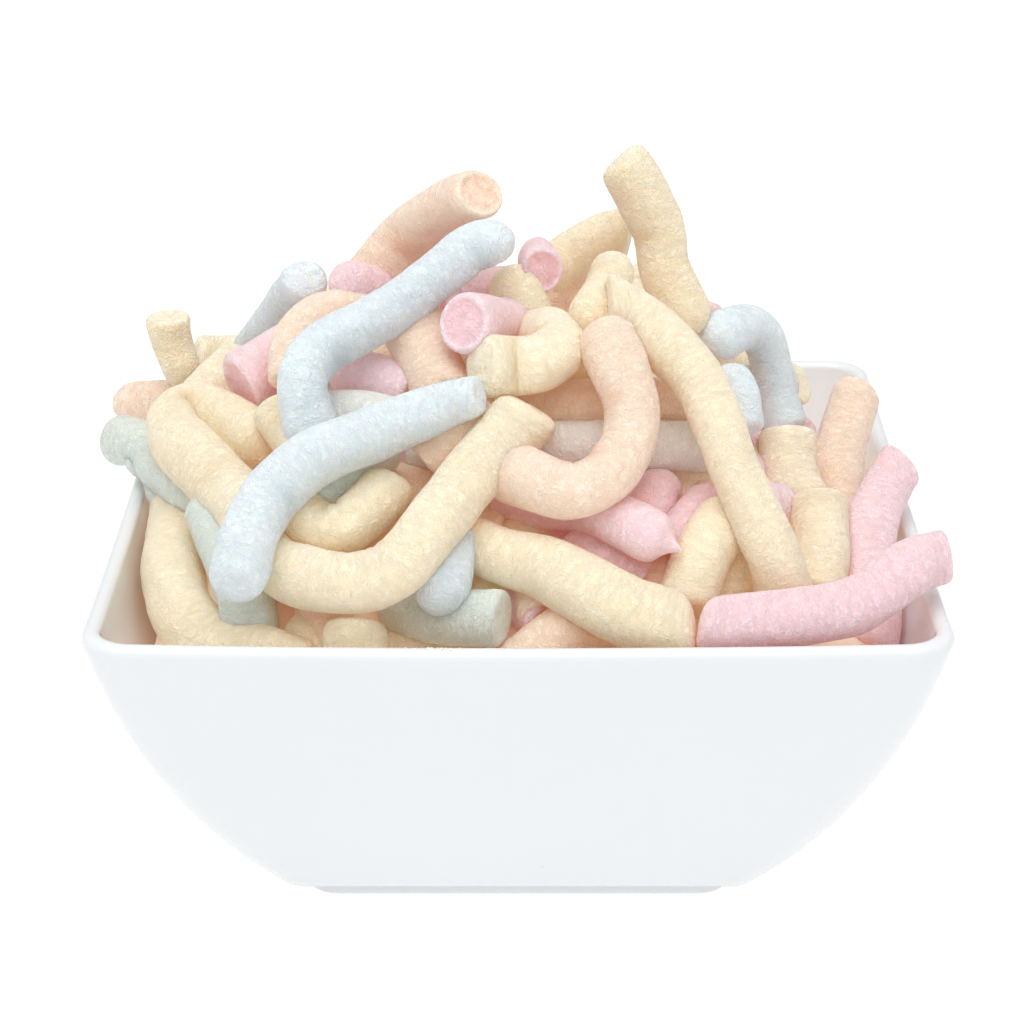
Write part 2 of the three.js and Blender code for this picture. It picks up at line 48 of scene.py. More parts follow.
# the eye that the front half of the heap is laid out from: in front of the bowl, over its rim
frontView = {"tilt": math.radians(22.114), "distance": 476.0, "height": 188.4, "focal": 2898.0,
             "across": 518.0, "down": 512.0, "picture": 1024.0}


# the candy ropes
# Of the front half: tint, thickness in mm, and points of the line on the front view, each across and
# down in its picture and its depth behind the bowl's middle in mm.
shownRopes = {
    "blueFront": ("blue", 9.6, [(235, 586, -60), (244, 560, -56), (254, 526, -51), (273, 492, -46),
        (315, 458, -42), (375, 433, -38), (430, 410, -35), (480, 393, -33)]),
    "lemonSmile": ("lemon", 10.2, [(262, 552, -45), (292, 574, -51), (345, 584, -55), (395, 568, -54),
        (430, 528, -49), (464, 486, -42), (500, 445, -36), (533, 408, -31)]),
    "lemonCurl": ("lemon", 9, [(394, 482, -38), (370, 508, -43), (344, 528, -46), (318, 528, -45),
        (296, 508, -42), (276, 488, -38)]),
    "lemonElbow": ("lemon", 10.6, [(180, 478, 2), (177, 525, -14), (172, 572, -30), (184, 614, -43),
        (215, 646, -51), (262, 657, -55), (302, 672, -56)]),
    "lemonLoop": ("lemon", 11, [(272, 556, -42), (246, 514, -32), (210, 472, -18), (179, 440, -6),
        (176, 418, 0), (201, 413, 0), (234, 428, -7), (268, 456, -16)]),
    "mintLeft": ("mint", 9.6, [(120, 441, 10), (152, 463, 1), (188, 488, -11), (218, 503, -18)]),
    "mintLeftLow": ("mint", 6.4, [(134, 474, 2), (166, 492, -5), (206, 504, -13)]),
    "mintCorner": ("mint", 9.6, [(210, 514, -25), (226, 545, -34), (243, 590, -45), (250, 630, -48)]),
    "peachFarLeft": ("peach", 8.2, [(116, 406, 32), (150, 402, 30), (205, 404, 28)]),
    "lemonStub": ("lemon", 8.2, [(169, 316, 27), (172, 340, 27), (180, 364, 26), (186, 386, 25)]),
    "creamBack": ("lemon", 8.6, [(196, 358, 42), (225, 357, 42), (268, 356, 38)]),
    "lemonBehindPink": ("lemon", 9.8, [(240, 366, 20), (219, 386, 14), (200, 410, 10)]),
    "pinkLeft": ("pink", 9.8, [(240, 389, -4), (258, 370, -1), (276, 354, 2), (300, 340, 6)]),
    "blueStick": ("blue", 8.4, [(307, 278, 8), (298, 290, 14), (283, 312, 20), (252, 354, 28)]),
    "peachLeft": ("peach", 9.4, [(368, 314, 0), (322, 320, -4), (299, 342, -8), (296, 380, -13)]),
    "blueBig": ("blue", 9, [(513, 252, -12), (497, 245, -11), (472, 249, -11), (437, 277, -13),
        (400, 306, -16), (358, 328, -20), (324, 347, -23), (305, 374, -27), (305, 404, -29),
        (314, 434, -31)]),
    "peachTop": ("peach", 9.6, [(481, 193, -6), (468, 197, -3), (449, 206, 1), (428, 217, 5), (408, 235, 8),
        (388, 260, 8), (358, 294, 8)]),
    "pinkTopLeft": ("pink", 8.6, [(334, 284, -2), (358, 286, 1), (390, 296, 5)]),
    "pinkTopRight": ("pink", 8.2, [(543, 270, -8), (541, 265, 0), (538, 260, 8)]),
    "lemonTuck": ("lemon", 10.2, [(510, 268, -6), (515, 290, -8), (524, 316, -10), (536, 338, -12)]),
    "lemonHook": ("lemon", 9.8, [(481, 365, -30), (508, 366, -28), (540, 363, -28), (558, 350, -24),
        (552, 338, -18), (534, 338, -12), (512, 342, -8)]),
    "pinkMid": ("pink", 9.8, [(462, 324, -25), (484, 324, -17), (508, 324, -8)]),
    "pinkMidBack": ("pink", 8.8, [(450, 296, -2), (480, 292, 0), (515, 292, 4)]),
    "peachMid": ("peach", 10.4, [(412, 322, -12), (430, 362, -18), (448, 402, -25)]),
    "peachMidLow": ("peach", 9.2, [(488, 414, -28), (452, 436, -32), (424, 462, -34)]),
    "mintMidLeft": ("white", 9, [(318, 418, -22), (362, 416, -24), (402, 424, -26)]),
    "mintGap": ("mint", 9, [(318, 506, -40), (352, 468, -36), (388, 444, -32)]),
    "peachRing": ("peach", 10.6, [(606, 336, -22), (619, 368, -27), (631, 408, -32), (627, 444, -37),
        (608, 475, -41), (578, 490, -43), (545, 486, -41), (510, 470, -35)]),
    "lemonBig": ("lemon", 9.8, [(608, 303, -22), (636, 318, -23), (666, 343, -26), (698, 382, -31),
        (720, 430, -38), (735, 470, -42), (756, 518, -47), (775, 562, -50), (787, 604, -50)]),
    "pinkFront": ("pink", 9.4, [(700, 626, -61), (772, 620, -61), (832, 612, -59), (864, 600, -57),
        (894, 580, -54), (920, 564, -51), (947, 556, -48)]),
    "pinkRight": ("pink", 9.6, [(880, 655, -46), (869, 590, -36), (868, 540, -26), (879, 502, -17),
        (902, 461, -9)]),
    "peachRight": ("peach", 9.8, [(861, 380, 18), (851, 412, 13), (839, 455, 6), (834, 520, -6)]),
    "lemonRightHigh": ("lemon", 10.6, [(786, 432, -4), (789, 468, -9), (803, 508, -15)]),
    "lemonRightLow": ("lemon", 10.2, [(819, 500, -20), (821, 545, -31), (815, 600, -42)]),
    "blueArch": ("blue", 8.6, [(711, 350, -2), (723, 334, 2), (745, 327, 8), (763, 338, 11), (771, 362, 12),
        (777, 392, 11), (786, 430, 8)]),
    "blueSmall": ("blue", 7.6, [(720, 368, -4), (736, 392, -8), (744, 432, -13)]),
    "lemonTip": ("lemon", 8.2, [(800, 382, 34), (768, 386, 36), (730, 386, 34)]),
    "lemonUnderArch": ("lemon", 8.6, [(752, 372, 22), (725, 378, 18), (700, 385, 12)]),
    "lemonTall": ("lemon", 9.6, [(620, 158, 8), (642, 193, 8), (659, 232, 7), (664, 268, 5), (680, 302, 3),
        (698, 334, 1)]),
    "lemonDiagonal": ("lemon", 9, [(631, 233, 19), (600, 241, 18), (572, 256, 17), (546, 272, 15)]),
    "lemonPeak": ("lemon", 8.4, [(612, 252, -8), (612, 276, -11), (600, 298, -15), (590, 318, -19),
        (588, 336, -22)]),
    "lemonLong": ("lemon", 10.4, [(455, 533, -44), (500, 555, -49), (550, 570, -52), (600, 598, -56),
        (645, 618, -58), (694, 632, -59)]),
    "mintTip": ("blue", 9.4, [(452, 536, -44), (446, 570, -51), (438, 608, -57)]),
    "mintLow": ("mint", 9.2, [(388, 606, -47), (440, 616, -53), (503, 618, -58)]),
    "lemonStubFront": ("lemon", 10.6, [(356, 620, -56), (358, 690, -57)]),
    "lemonDeepLeft": ("lemon", 9, [(300, 632, -48), (316, 646, -51), (330, 676, -52)]),
    "pinkLong": ("pink", 9, [(496, 492, -36), (540, 507, -40), (580, 510, -43), (612, 517, -47),
        (640, 531, -51), (671, 546, -55)]),
    "pinkUnder": ("pink", 8.6, [(575, 548, -42), (605, 560, -46), (640, 578, -48)]),
    "pinkDeepA": ("pink", 8.6, [(656, 486, -32), (648, 508, -38), (630, 540, -42)]),
    "pinkDeepB": ("pink", 8.6, [(712, 502, -36), (692, 518, -40), (668, 548, -44)]),
    "whiteCross": ("white", 8.8, [(412, 446, -28), (480, 448, -29), (560, 446, -29), (640, 446, -28),
        (712, 446, -26)]),
    "orangeDeep": ("peach", 8.8, [(520, 405, -20), (580, 405, -20), (640, 402, -19), (700, 402, -18)]),
    "lemonShade": ("lemon", 8.6, [(560, 372, -14), (600, 374, -14), (650, 376, -14)]),
    "peachLowRight": ("lemon", 9.8, [(726, 518, -38), (702, 555, -45), (684, 610, -51)]),
    "lemonShadow": ("lemon", 9, [(748, 535, -40), (734, 570, -46), (722, 606, -49)]),
    "peachLow": ("peach", 9.6, [(516, 668, -58), (560, 634, -56), (610, 616, -50)]),
    "pinkLow": ("pink", 8.6, [(500, 590, -42), (520, 606, -46), (545, 620, -50)]),
    "peachGap": ("peach", 8.8, [(640, 560, -42), (658, 584, -47), (690, 606, -50)]),
    "pinkShade": ("pink", 9, [(345, 372, -12), (375, 378, -16), (412, 392, -20)]),
    "lemonDark": ("lemon", 8.8, [(276, 408, -16), (288, 430, -19), (305, 455, -25)]),
    "peachShade": ("lemon", 8.8, [(372, 345, -8), (392, 372, -12), (404, 402, -17)]),
}
# Of the back half: tint, thickness, lift over the heap's own form, and points from above, all in mm.
hiddenRopes = {
    "backSweep": ("lemon", 9.8, 13, [(-44, 36), (-26, 47), (-6, 50), (14, 46), (26, 36)]),
    "backPink": ("pink", 9.2, 9, [(34, 14), (30, 26), (20, 40), (2, 58)]),
    "backBlue": ("blue", 9, 9, [(-44, 14), (-38, 26), (-30, 40), (-30, 58)]),
    "backPeach": ("peach", 10.2, 9, [(-22, 22), (-16, 32), (-2, 36), (8, 30), (8, 20)]),
    "backLemonHigh": ("lemon", 9.6, 6, [(-16, 12), (-4, 20), (12, 22), (24, 16)]),
    "backMint": ("mint", 9.2, 4, [(42, 12), (46, 24), (38, 38)]),
    "backWhite": ("white", 8.8, 5, [(-40, 30), (-20, 38), (4, 44), (30, 42)]),
    "backLemonLow": ("lemon", 10, 7, [(-54, 46), (-40, 54), (-18, 57), (4, 57)]),
    "backPinkLow": ("pink", 9.4, 0, [(12, 57), (30, 54), (44, 44), (54, 30)]),
    "backBlueLow": ("blue", 9, 2, [(18, 32), (32, 36), (44, 34)]),
    "backCream": ("lemon", 9.2, 4, [(-30, 8), (-20, 24), (-2, 30)]),
    "backCreamRight": ("lemon", 9.4, 5, [(18, 10), (28, 24), (22, 44)]),
    "backPinkStub": ("pink", 9.6, 17, [(-14, 42), (-6, 52), (2, 66)]),
    "backStubLeft": ("mint", 9, 6, [(-36, 10), (-46, 20), (-50, 34)]),
    "backLoopRight": ("lemon", 9.4, 11, [(10, 60), (24, 58), (34, 48), (30, 36), (18, 34)]),
    "topStub": ("pink", 9, 9, [(-26, 4), (-14, 8), (0, 12)]),
    "sidePink": ("pink", 9, 6, [(-52, 4), (-46, 14), (-38, 24)]),
}


# laying the ropes
heapForm = {
    "peak": 30.0, "blend": 3.5, "clearance": 0.4, "slack": 0.2, "lineStep": 3.0,
    # of the front, back and side slopes: height at the edge, how far out that is, and steepness
    "slopes": ((-12, 62, 0.78), (-12, 62, 0.72), (-9, 63, 0.88)),
}
deepForm = {"rows": 11, "pitch": 10.2, "thick": 9.0, "lift": -1.5, "seed": 47, "jitter": 8,
            "shortest": 12, "longer": 8, "bend": 12, "spread": (52, 54), "limit": (50, 52),
            "tints": ("peach", "pink", "lemon", "pink", "peach")}
settling = {"rounds": 120, "refresh": 20, "sight": 20, "press": 0.94, "keep": 0.99, "apart": 0.35,
            "offWall": 0.3, "wallRoom": 0.5, "overRim": 0.2, "tipShare": 0.8}
arcBow = bowlForm["sideRadius"] ** 2 - (bowlForm["rimRound"] + bowlForm["sideCentreUp"]) ** 2
sideCentreOut = bowlForm["rimWidth"] / 2 - math.sqrt(arcBow)


def sideHalf(height, inset):  # half width of the bowl, inset, at a height over the rim
    reach = bowlForm["sideRadius"] - inset
    return sideCentreOut + np.sqrt(reach * reach - (height - bowlForm["sideCentreUp"]) ** 2)


def mound(x, back):  # the heap's own form over the rim: four slopes and a flat top, blended
    x, back = np.asarray(x, float), np.asarray(back, float)
    slopes = [low + (reach + out) * steep
              for (low, reach, steep), out in zip(heapForm["slopes"], (back, -back, -abs(x)))]
    slopes.append(heapForm["peak"] + 0 * x)
    return -heapForm["blend"] * np.log(sum(np.exp(-slope / heapForm["blend"]) for slope in slopes))


def fromFrontView(across, down, back):
    tilt = frontView["tilt"]
    u = (across - frontView["across"]) / frontView["focal"]
    v = (down - frontView["down"]) / frontView["focal"]
    reach = (back + frontView["distance"]) / (math.cos(tilt) - v * math.sin(tilt))
    fall = (math.sin(tilt) + v * math.cos(tilt)) * reach
    return [u * reach, back, rim + frontView["height"] - fall]


def outward(line):  # square to the heap at each point of a line
    h = 0.5
    slopeX = (mound(line[:, 0] + h, line[:, 1]) - mound(line[:, 0] - h, line[:, 1])) / (2 * h)
    slopeY = (mound(line[:, 0], line[:, 1] + h) - mound(line[:, 0], line[:, 1] - h)) / (2 * h)
    normal = np.stack([-slopeX, -slopeY, np.ones(len(line))], 1)
    return normal / np.linalg.norm(normal, axis=1)[:, None]


def smoothLine(corners, step):  # even points along Catmull-Rom pieces through the corners
    corners = np.array(corners, float)
    if len(corners) == 2:
        corners = np.array([corners[0], corners.mean(0), corners[1]])
    knots = np.vstack([2 * corners[0] - corners[1], corners, 2 * corners[-1] - corners[-2]])
    fine, cuts = [], 12
    for a, b, c, d in zip(knots, knots[1:], knots[2:], knots[3:]):
        for t in np.arange(cuts) / cuts:
            fine.append(0.5 * (2 * b + (c - a) * t + (2 * a - 5 * b + 4 * c - d) * t * t
                               + (3 * b - a - 3 * c + d) * t ** 3))
    fine = np.array(fine + [corners[-1]])
    run = np.concatenate([[0], np.cumsum(np.linalg.norm(np.diff(fine, axis=0), axis=1))])
    count = max(4, int(math.floor(run[-1] / step + 0.5)) + 1)
    even = np.linspace(0, run[-1], count)
    return np.stack([np.interp(even, run, fine[:, k]) for k in range(3)], 1)


class SeededDraw:  # the same draws from 0 to 1 each run
    factor, modulus = 48271, 2147483647

    def __init__(self, seed):
        self.state = seed

    def next(self):
        self.state = self.state * self.factor % self.modulus
        return self.state / self.modulus


def layRopes():
    eye = np.array([0, -frontView["distance"], rim + frontView["height"]])
    ropes = []
    for name, (tint, thick, corners) in shownRopes.items():
        line = smoothLine([fromFrontView(*corner) for corner in corners], heapForm["lineStep"])
        sight = line - eye
        inward = sight / np.linalg.norm(sight, axis=1)[:, None]
        ropes.append({"name": name, "tint": tint, "radius": thick / 2, "line": line,
                      "inward": inward, "rank": 0})

    def follow(name, tint, thick, lift, corners, rank):
        flat = np.array(corners, float)
        line = smoothLine(np.c_[flat, rim + mound(flat[:, 0], flat[:, 1]) + lift], heapForm["lineStep"])
        ropes.append({"name": name, "tint": tint, "radius": thick / 2, "line": line,
                      "inward": -outward(line), "rank": rank})

    for name, (tint, thick, lift, corners) in hiddenRopes.items():
        follow(name, tint, thick, lift, corners, 1)
    draw = SeededDraw(deepForm["seed"])     # short ones that fill the gaps under the others
    rows, tints = deepForm["rows"], deepForm["tints"]
    spreadX, spreadY = deepForm["spread"]
    limitX, limitY = deepForm["limit"]
    for i in range(rows):
        for j in range(rows):
            x = (i - (rows - 1) / 2) * deepForm["pitch"] + (draw.next() - 0.5) * deepForm["jitter"]
            y = (j - (rows - 1) / 2) * deepForm["pitch"] + (draw.next() - 0.5) * deepForm["jitter"]
            turn = draw.next() * math.pi
            half = deepForm["shortest"] + deepForm["longer"] * draw.next()
            bend = (draw.next() - 0.5) * deepForm["bend"]
            tint = tints[int(draw.next() * len(tints))]
            if (abs(x) / spreadX) ** 3 + (abs(y) / spreadY) ** 3 > 1:      # the bowl's corners stay open
                continue
            c, s = math.cos(turn), math.sin(turn)
            corners = [(x - c * half, y - s * half), (x - s * bend, y + c * bend),
                       (x + c * half, y + s * half)]
            corners = [(max(-limitX, min(limitX, a)), max(-limitY, min(limitY, b))) for a, b in corners]
            follow("deep%d" % (i * rows + j), tint, deepForm["thick"], deepForm["lift"], corners, 2)
    return ropes


def clearOfBowl(line, radius):  # keeps a rope's line off the inside of the sides and off the rim
    up0, wall, top = bowlForm["sideCentreUp"], bowlForm["wall"], -bowlForm["rimRound"]
    middle = bowlForm["sideRadius"] - wall / 2
    rimAngle = math.atan2(top - up0, sideHalf(top, wall / 2) - sideCentreOut)
    need = radius + wall / 2 + heapForm["clearance"] + heapForm["slack"]
    for axis in (0, 1):
        side = np.sign(line[:, axis])
        angle = np.arctan2(line[:, 2] - rim - up0, abs(line[:, axis]) - sideCentreOut)
        held = np.minimum(angle, rimAngle)
        fromZ = rim + up0 + middle * np.sin(held)
        fromX = sideCentreOut + middle * np.cos(held) - np.where(
            angle < rimAngle, bowlForm["wallGrow"] / 2 * (rim - fromZ) / rim, 0)
        dx, dz = abs(line[:, axis]) - fromX, line[:, 2] - fromZ
        inside = np.where((angle < rimAngle) & (dx > 0), -1, 1)
        reach = np.hypot(dx, dz)
        lack = (need - reach * inside) / np.maximum(reach, 1e-6) * inside
        scale = np.where(reach * inside < need, lack, 0)
        line[:, axis] += side * dx * scale
        line[:, 2] += dz * scale


def settle(ropes):  # moves crossing ropes apart, a rope of higher rank giving way to a lower one
    base = np.vstack([rope["line"] for rope in ropes])
    inward = np.vstack([rope["inward"] for rope in ropes])
    counts = [len(rope["line"]) for rope in ropes]
    starts = np.concatenate([[0], np.cumsum(counts)])
    owner = np.repeat(np.arange(len(ropes)), counts)
    radius = np.repeat([rope["radius"] for rope in ropes], counts)
    rank = np.repeat([rope["rank"] for rope in ropes], counts)
    toTip = np.concatenate([np.minimum(np.arange(n), np.arange(n)[::-1]) for n in counts])
    body = toTip * heapForm["lineStep"] >= radius * settling["tipShare"]
    at, shift = base.copy(), np.zeros(len(base))
    for turn in range(settling["rounds"]):
        if turn % settling["refresh"] == 0:
            apart = ((at[:, None] - at[None]) ** 2).sum(2)
            meets = (apart < settling["sight"] ** 2) & (owner[:, None] != owner[None])
            meets &= body[:, None] & body[None]
            meets &= (rank[:, None] >= rank[None]) & ~((rank[:, None] == 2) & (rank[None] == 2))
            a, b = np.nonzero(meets)
            share = np.where(rank[a] == rank[b], 0.5, 1.0)
            reach = (radius[a] + radius[b]) * settling["press"]
        gap = at[a] - at[b]
        along = (gap * inward[a]).sum(1)
        beside = np.sqrt(np.maximum((gap ** 2).sum(1) - along ** 2, 0))
        need = np.sqrt(np.maximum(reach ** 2 - beside ** 2, 0)) - abs(along)
        push = np.maximum(need, 0) * share * np.sqrt(np.maximum(1 - beside / reach, 0))
        push *= np.where(along >= 0, 1, -1)
        forth, back = np.zeros(len(at)), np.zeros(len(at))
        np.maximum.at(forth, a, push)
        np.minimum.at(back, a, push)
        room = sideHalf(np.minimum(at[:, 2] - rim, -1), bowlForm["wall"]) - radius - settling["wallRoom"]
        offWall = np.maximum(-at[:, 1] - room, 0) - np.maximum(at[:, 1] - room, 0)
        offWall[(rank > 0) | (at[:, 2] > rim + radius * settling["overRim"])] = 0
        shift = shift * settling["keep"] + (forth + back) * settling["apart"] + offWall * settling["offWall"]
        for start, end in zip(starts, starts[1:]):
            for _ in range(2):
                padded = np.pad(shift[start:end], 1, mode="edge")
                shift[start:end] = 0.25 * (padded[:-2] + padded[2:]) + 0.5 * padded[1:-1]
        at = base + inward * shift[:, None]
    for rope, start, end in zip(ropes, starts, starts[1:]):
        rope["line"] = at[start:end]
        clearOfBowl(rope["line"], rope["radius"])
    return ropes


# small helpers for trees and meshes
class Wires:  # a node tree being wired; a value for a socket is another socket or a constant
    def __init__(self, tree):
        self.tree = tree

    def add(self, kind, feeds=None, **settings):
        node = self.tree.nodes.new(kind)
        for key, value in settings.items():
            setattr(node, key, value)
        for key, value in (feeds or {}).items():
            if isinstance(value, bpy.types.NodeSocket):
                self.tree.links.new(value, node.inputs[key])
            else:
                node.inputs[key].default_value = value
        return node

    def math(self, operation, *values, clamp=False):
        node = self.add("ShaderNodeMath", dict(enumerate(values)), operation=operation, use_clamp=clamp)
        return node.outputs[0]

    def vector(self, operation, *values):
        feeds = {"Scale" if operation == "SCALE" and key == 1 else key: value
                 for key, value in enumerate(values)}
        node = self.add("ShaderNodeVectorMath", feeds, operation=operation)
        return node.outputs["Value" if operation == "DOT_PRODUCT" else "Vector"]

    def noise(self, at, scale, detail=2.0, roughness=0.5, distortion=0.0):
        return self.add("ShaderNodeTexNoise", {"Vector": at, "Scale": scale, "Detail": detail,
                        "Roughness": roughness, "Distortion": distortion}).outputs[0]

    def centredNoise(self, *settings):  # from -1 to 1
        return self.math("MULTIPLY_ADD", self.noise(*settings), 2.0, -1.0)

    def span(self, value, low, high, start=0.0, end=1.0):  # a smooth step from start to end
        return self.add("ShaderNodeMapRange", {"Value": value, "From Min": low, "From Max": high,
                        "To Min": start, "To Max": end}, interpolation_type="SMOOTHSTEP").outputs[0]

    def mixColour(self, share, a, b):
        return self.add("ShaderNodeMix", {0: share, 6: a, 7: b}, data_type="RGBA").outputs[2]


def linear(red, green, blue):  # a screen colour from 0 to 255 as the shader's own values
    return tuple(((c / 255 + 0.055) / 1.055) ** 2.4 if c > 10.3 else c / 255 / 12.92
                 for c in (red, green, blue)) + (1.0,)


def newFinish(name, **sockets):
    finish = bpy.data.materials.new(name)
    finish.use_nodes = True
    wires = Wires(finish.node_tree)
    shader = finish.node_tree.nodes["Principled BSDF"]
    for key, value in sockets.items():
        shader.inputs[key.replace("_", " ")].default_value = value
    return finish, wires, shader


def addMesh(name, points, faces, finish):
    mesh = bpy.data.meshes.new(name)
    mesh.from_pydata([tuple(p) for p in points], [], faces)
    mesh.materials.append(finish)
    piece = bpy.data.objects.new(name, mesh)
    bpy.context.collection.objects.link(piece)
    mesh.shade_smooth()
    return piece


# camera, light and floor
view = {"sensor": 36.0, "shiftAcross": -6 / frontView["picture"]}
studio = {"world": 0.62, "floorHalf": 3.0, "floorGlow": 0.74, "lampSize": 1.3, "bounces": 16,
          "aim": (0, 0, 0.08), "floorTones": ((158, 158, 158), (164, 164, 164))}
lamps = {"lampTop": ((-0.1, -0.3, 1.25), 11.5), "lampFront": ((0.3, -1.3, 1.0), 2.2)}  # place in m, watts


def setCamera():
    camera = bpy.data.cameras.new("frontCamera")
    camera.sensor_width = view["sensor"]
    camera.lens = view["sensor"] * frontView["focal"] / frontView["picture"]
    camera.shift_x = view["shiftAcross"]
    camera.clip_start, camera.clip_end = 0.01, 20
    holder = bpy.data.objects.new("frontCamera", camera)
    bpy.context.collection.objects.link(holder)
    holder.location = (0, -frontView["distance"] * mm, (rim + frontView["height"]) * mm)
    holder.rotation_euler = (math.radians(90) - frontView["tilt"], 0, 0)
    bpy.context.scene.camera = holder


def setStudio():
    scene = bpy.context.scene
    scene.view_settings.view_transform = "Standard"
    world = bpy.data.worlds.new("studio")
    scene.world = world
    world.use_nodes = True
    sky = world.node_tree.nodes["Background"]
    sky.inputs["Color"].default_value = (1, 1, 1, 1)
    sky.inputs["Strength"].default_value = studio["world"]
    scene.cycles.max_bounces = scene.cycles.diffuse_bounces = studio["bounces"]
    for name, (place, watts) in lamps.items():
        light = bpy.data.lights.new(name, "AREA")
        light.shape, light.size = "SQUARE", studio["lampSize"]
        light.energy = watts
        lamp = bpy.data.objects.new(name, light)
        lamp.location = place
        lamp.rotation_euler = (Vector(place) - Vector(studio["aim"])).to_track_quat("Z", "Y").to_euler()
        bpy.context.collection.objects.link(lamp)
    finish, wires, shader = newFinish("paleFloor", Roughness=0.7, Emission_Strength=studio["floorGlow"])
    shader.inputs["Emission Color"].default_value = (1, 1, 1, 1)
    coordinates = wires.add("ShaderNodeTexCoord").outputs["Object"]
    darker, paler = (linear(*tone) for tone in studio["floorTones"])
    wires.tree.links.new(wires.mixColour(wires.noise(coordinates, 3.0), darker, paler),
                         shader.inputs["Base Color"])
    half = studio["floorHalf"]
    floor = addMesh("floor", [(-half, -half, 0), (half, -half, 0), (half, half, 0), (-half, half, 0)],
                    [(0, 1, 2, 3)], finish)


setCamera()
setStudio()
print("camera and studio set")


# the porcelain bowl
glaze = {"colour": (231, 234, 236), "roughness": 0.09, "ripple": 0.25, "pinholes": 0.35,
         "pinholeTone": (196, 198, 196)}
bowlMesh = {"sideSteps": 26, "cornerSteps": 12, "bodyRings": 40, "rimRings": 12, "insideRings": 34}


def squareRing(half, corner, sag, height, sideSteps, cornerSteps):
    flat = half - corner
    alongSide = -flat + 2 * flat * np.arange(sideSteps) / sideSteps
    angle = np.arange(cornerSteps) / cornerSteps * math.pi / 2
    x = np.concatenate([half + 0 * alongSide, flat + corner * np.cos(angle)])
    y = np.concatenate([alongSide, flat + corner * np.sin(angle)])
    z = height - np.concatenate([sag * (1 - (alongSide / flat) ** 2), 0 * angle])
    return np.concatenate([np.stack([x * c - y * s, x * s + y * c, z], 1)
                           for c, s in ((1, 0), (0, 1), (-1, 0), (0, -1))])


def loft(rings):  # points and faces of a closed skin over a stack of rings
    count = len(rings[0])
    points = np.concatenate(rings)
    faces = []
    for r in range(len(rings) - 1):
        for k in range(count):
            a, b = r * count + k, r * count + (k + 1) % count
            faces.append((a, b, b + count, a + count))
    faces.append(tuple(range(count))[::-1])
    faces.append(tuple(range(len(points) - count, len(points))))
    return points, faces


def rise(height):  # share of the bowl's height
    return (height + rim) / rim


def outerRing(height, inset=0.0, over=0.0):
    corner = bowlForm["footCorner"] + (bowlForm["rimCorner"] - bowlForm["footCorner"]) * rise(height)
    sag = bowlForm["rimSag"] * rise(height) ** 3
    return squareRing(float(sideHalf(height, inset)), corner - inset * 0.6, sag, rim + height + over,
                      bowlMesh["sideSteps"], bowlMesh["cornerSteps"])


def wallAt(height):
    return bowlForm["wall"] - bowlForm["wallGrow"] * (height / rim)


def footRing(half, corner, height):
    return squareRing(half, corner, 0, height, bowlMesh["sideSteps"], bowlMesh["cornerSteps"])


